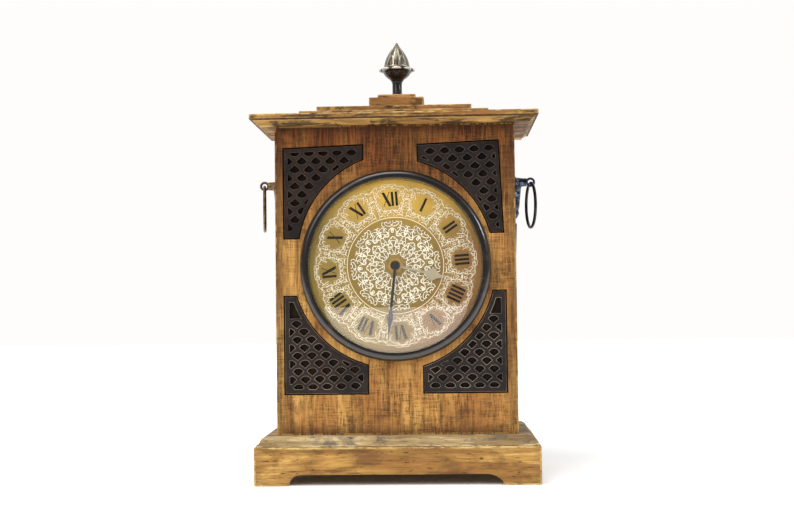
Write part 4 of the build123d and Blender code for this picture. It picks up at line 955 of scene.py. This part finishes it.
def makeScrews():
    s = screwSizes
    tree, head = screwTree(), screwHead()
    for body, side in (("case", 1), ("door", -1)):
        places = [((s["pinX"] + side * out) * mm, s["leafFace"] * mm, (middle + up) * mm)
                  for middle in s["hinges"] for out, up in s["holes"]]
        mesh = bpy.data.meshes.new("screw_places")
        mesh.from_pydata(places, [], [])
        holder = newPiece("hinge_screws_" + body, mesh)
        tree.drive(holder, Screw=head, Finish=agedBrass)
        stand(settle(holder), agedBrass, body)
    bpy.data.objects.remove(head)


makeScrews()
print("screws")


# room: floor, light, camera

tableSizes = dict(half=4.0, front=-1.09, back=4.0)  # metres
underClock = dict(x=(0.112, 0.122), y=(0.050, 0.066), ahead=0.006)  # where the cloth's own light fades out
wallWhite = (1.0, 0.985, 0.965, 1.0)


def makeRoom():
    p = Paint("tablecloth")
    x, y = p.axes(p.place())[:2]
    # the cloth is lit up to white away from the clock, and not under it
    u = underClock
    bare = 1 - p.below(p.absolute(x), *u["x"]) * p.below(p.absolute(y + u["ahead"]), *u["y"])
    away = p.step((x * x + y * y) ** 0.5, 0.2, 0.75)
    cloth = p.node("ShaderNodeBsdfDiffuse", {0: tint(251, 250, 250)})
    strength = p.ray("camera") * bare * (0.16 + away * 0.9) + p.ray("glossy") * 1.1
    glow = p.node("ShaderNodeEmission", {0: wallWhite, 1: strength})
    p.node("ShaderNodeOutputMaterial", {0: p.node("ShaderNodeAddShader", {0: cloth, 1: glow})})
    mesh = bpy.data.meshes.new("tablecloth")
    half, front, back = tableSizes.values()
    corners = [(-half, front, 0), (half, front, 0), (half, back, 0), (-half, back, 0)]
    mesh.from_pydata(corners, [], [(0, 1, 2, 3)])
    give(newPiece("tablecloth", mesh), p.material)

    # a white wall behind the clock and a dim room in front of it, for what shines
    world = bpy.data.worlds.new("studio")
    bpy.context.scene.world = world
    sky = Paint("studio", world)
    camera, glossy, through = sky.ray("camera"), sky.ray("glossy"), sky.ray("transmission")
    ahead, above = sky.axes(sky.node("ShaderNodeTexCoord", out=0))[1:]
    behind = sky.step(ahead, -0.2, 0.3)
    mirrored = 0.1 + behind * 0.85 + sky.step(above, 0.35, 0.8) * (1 - behind) * 0.35
    direct = camera + through
    strength = direct + glossy * mirrored + (1 - direct - glossy) * 0.62
    background = sky.node("ShaderNodeBackground", {0: wallWhite, 1: strength})
    sky.node("ShaderNodeOutputWorld", {0: background})


lamps = {  # place and target, width, watts, colour; metres
    "window_left": ((-1.1, -1.5, 1.2), (0, 0, 0.2), 1.1, 16.5, (1.0, 0.97, 0.93)),
    "window_right": ((1.5, -0.75, 0.95), (0, 0, 0.22), 0.4, 12.0, (0.8, 0.9, 1.0)),
    "overhead": ((-0.25, -0.55, 1.6), (0, 0, 0.2), 0.8, 11.0, (1.0, 1.0, 1.0)),
}


def makeLamps():
    for name, (place, target, size, power, colour) in lamps.items():
        lamp = bpy.data.lights.new(name, "AREA")
        lamp.size, lamp.energy, lamp.color = size, power, colour
        holder = bpy.data.objects.new(name, lamp)
        holder.location = place
        holder.rotation_euler = (Vector(target) - Vector(place)).to_track_quat("-Z", "Y").to_euler()
        bpy.context.scene.collection.objects.link(holder)


# millimetres and radians
cameraView = dict(place=(44.07, -1123.0, 155.91), yaw=-0.04, pitch=0.0341, roll=-0.0122, lens=54.8)


def makeCamera():
    yaw, pitch, roll = cameraView["yaw"], cameraView["pitch"], cameraView["roll"]
    ahead = Vector((sin(yaw) * cos(pitch), cos(yaw) * cos(pitch), sin(pitch)))
    level = Vector((cos(yaw), -sin(yaw), 0))
    upward = level.cross(ahead)
    right = level * cos(roll) + upward * sin(roll)
    up = upward * cos(roll) - level * sin(roll)
    turn = Matrix((right, up, -ahead)).transposed().to_4x4()
    data = bpy.data.cameras.new("camera")
    data.lens, data.sensor_width, data.clip_start, data.clip_end = cameraView["lens"], 36.0, 0.01, 50.0
    camera = bpy.data.objects.new("camera", data)
    camera.matrix_world = Matrix.Translation(Vector(cameraView["place"]) * mm) @ turn
    bpy.context.scene.collection.objects.link(camera)
    bpy.context.scene.camera = camera


makeRoom()
makeLamps()
makeCamera()
bpy.context.scene.view_settings.view_transform = "Standard"
bpy.context.view_layer.update()
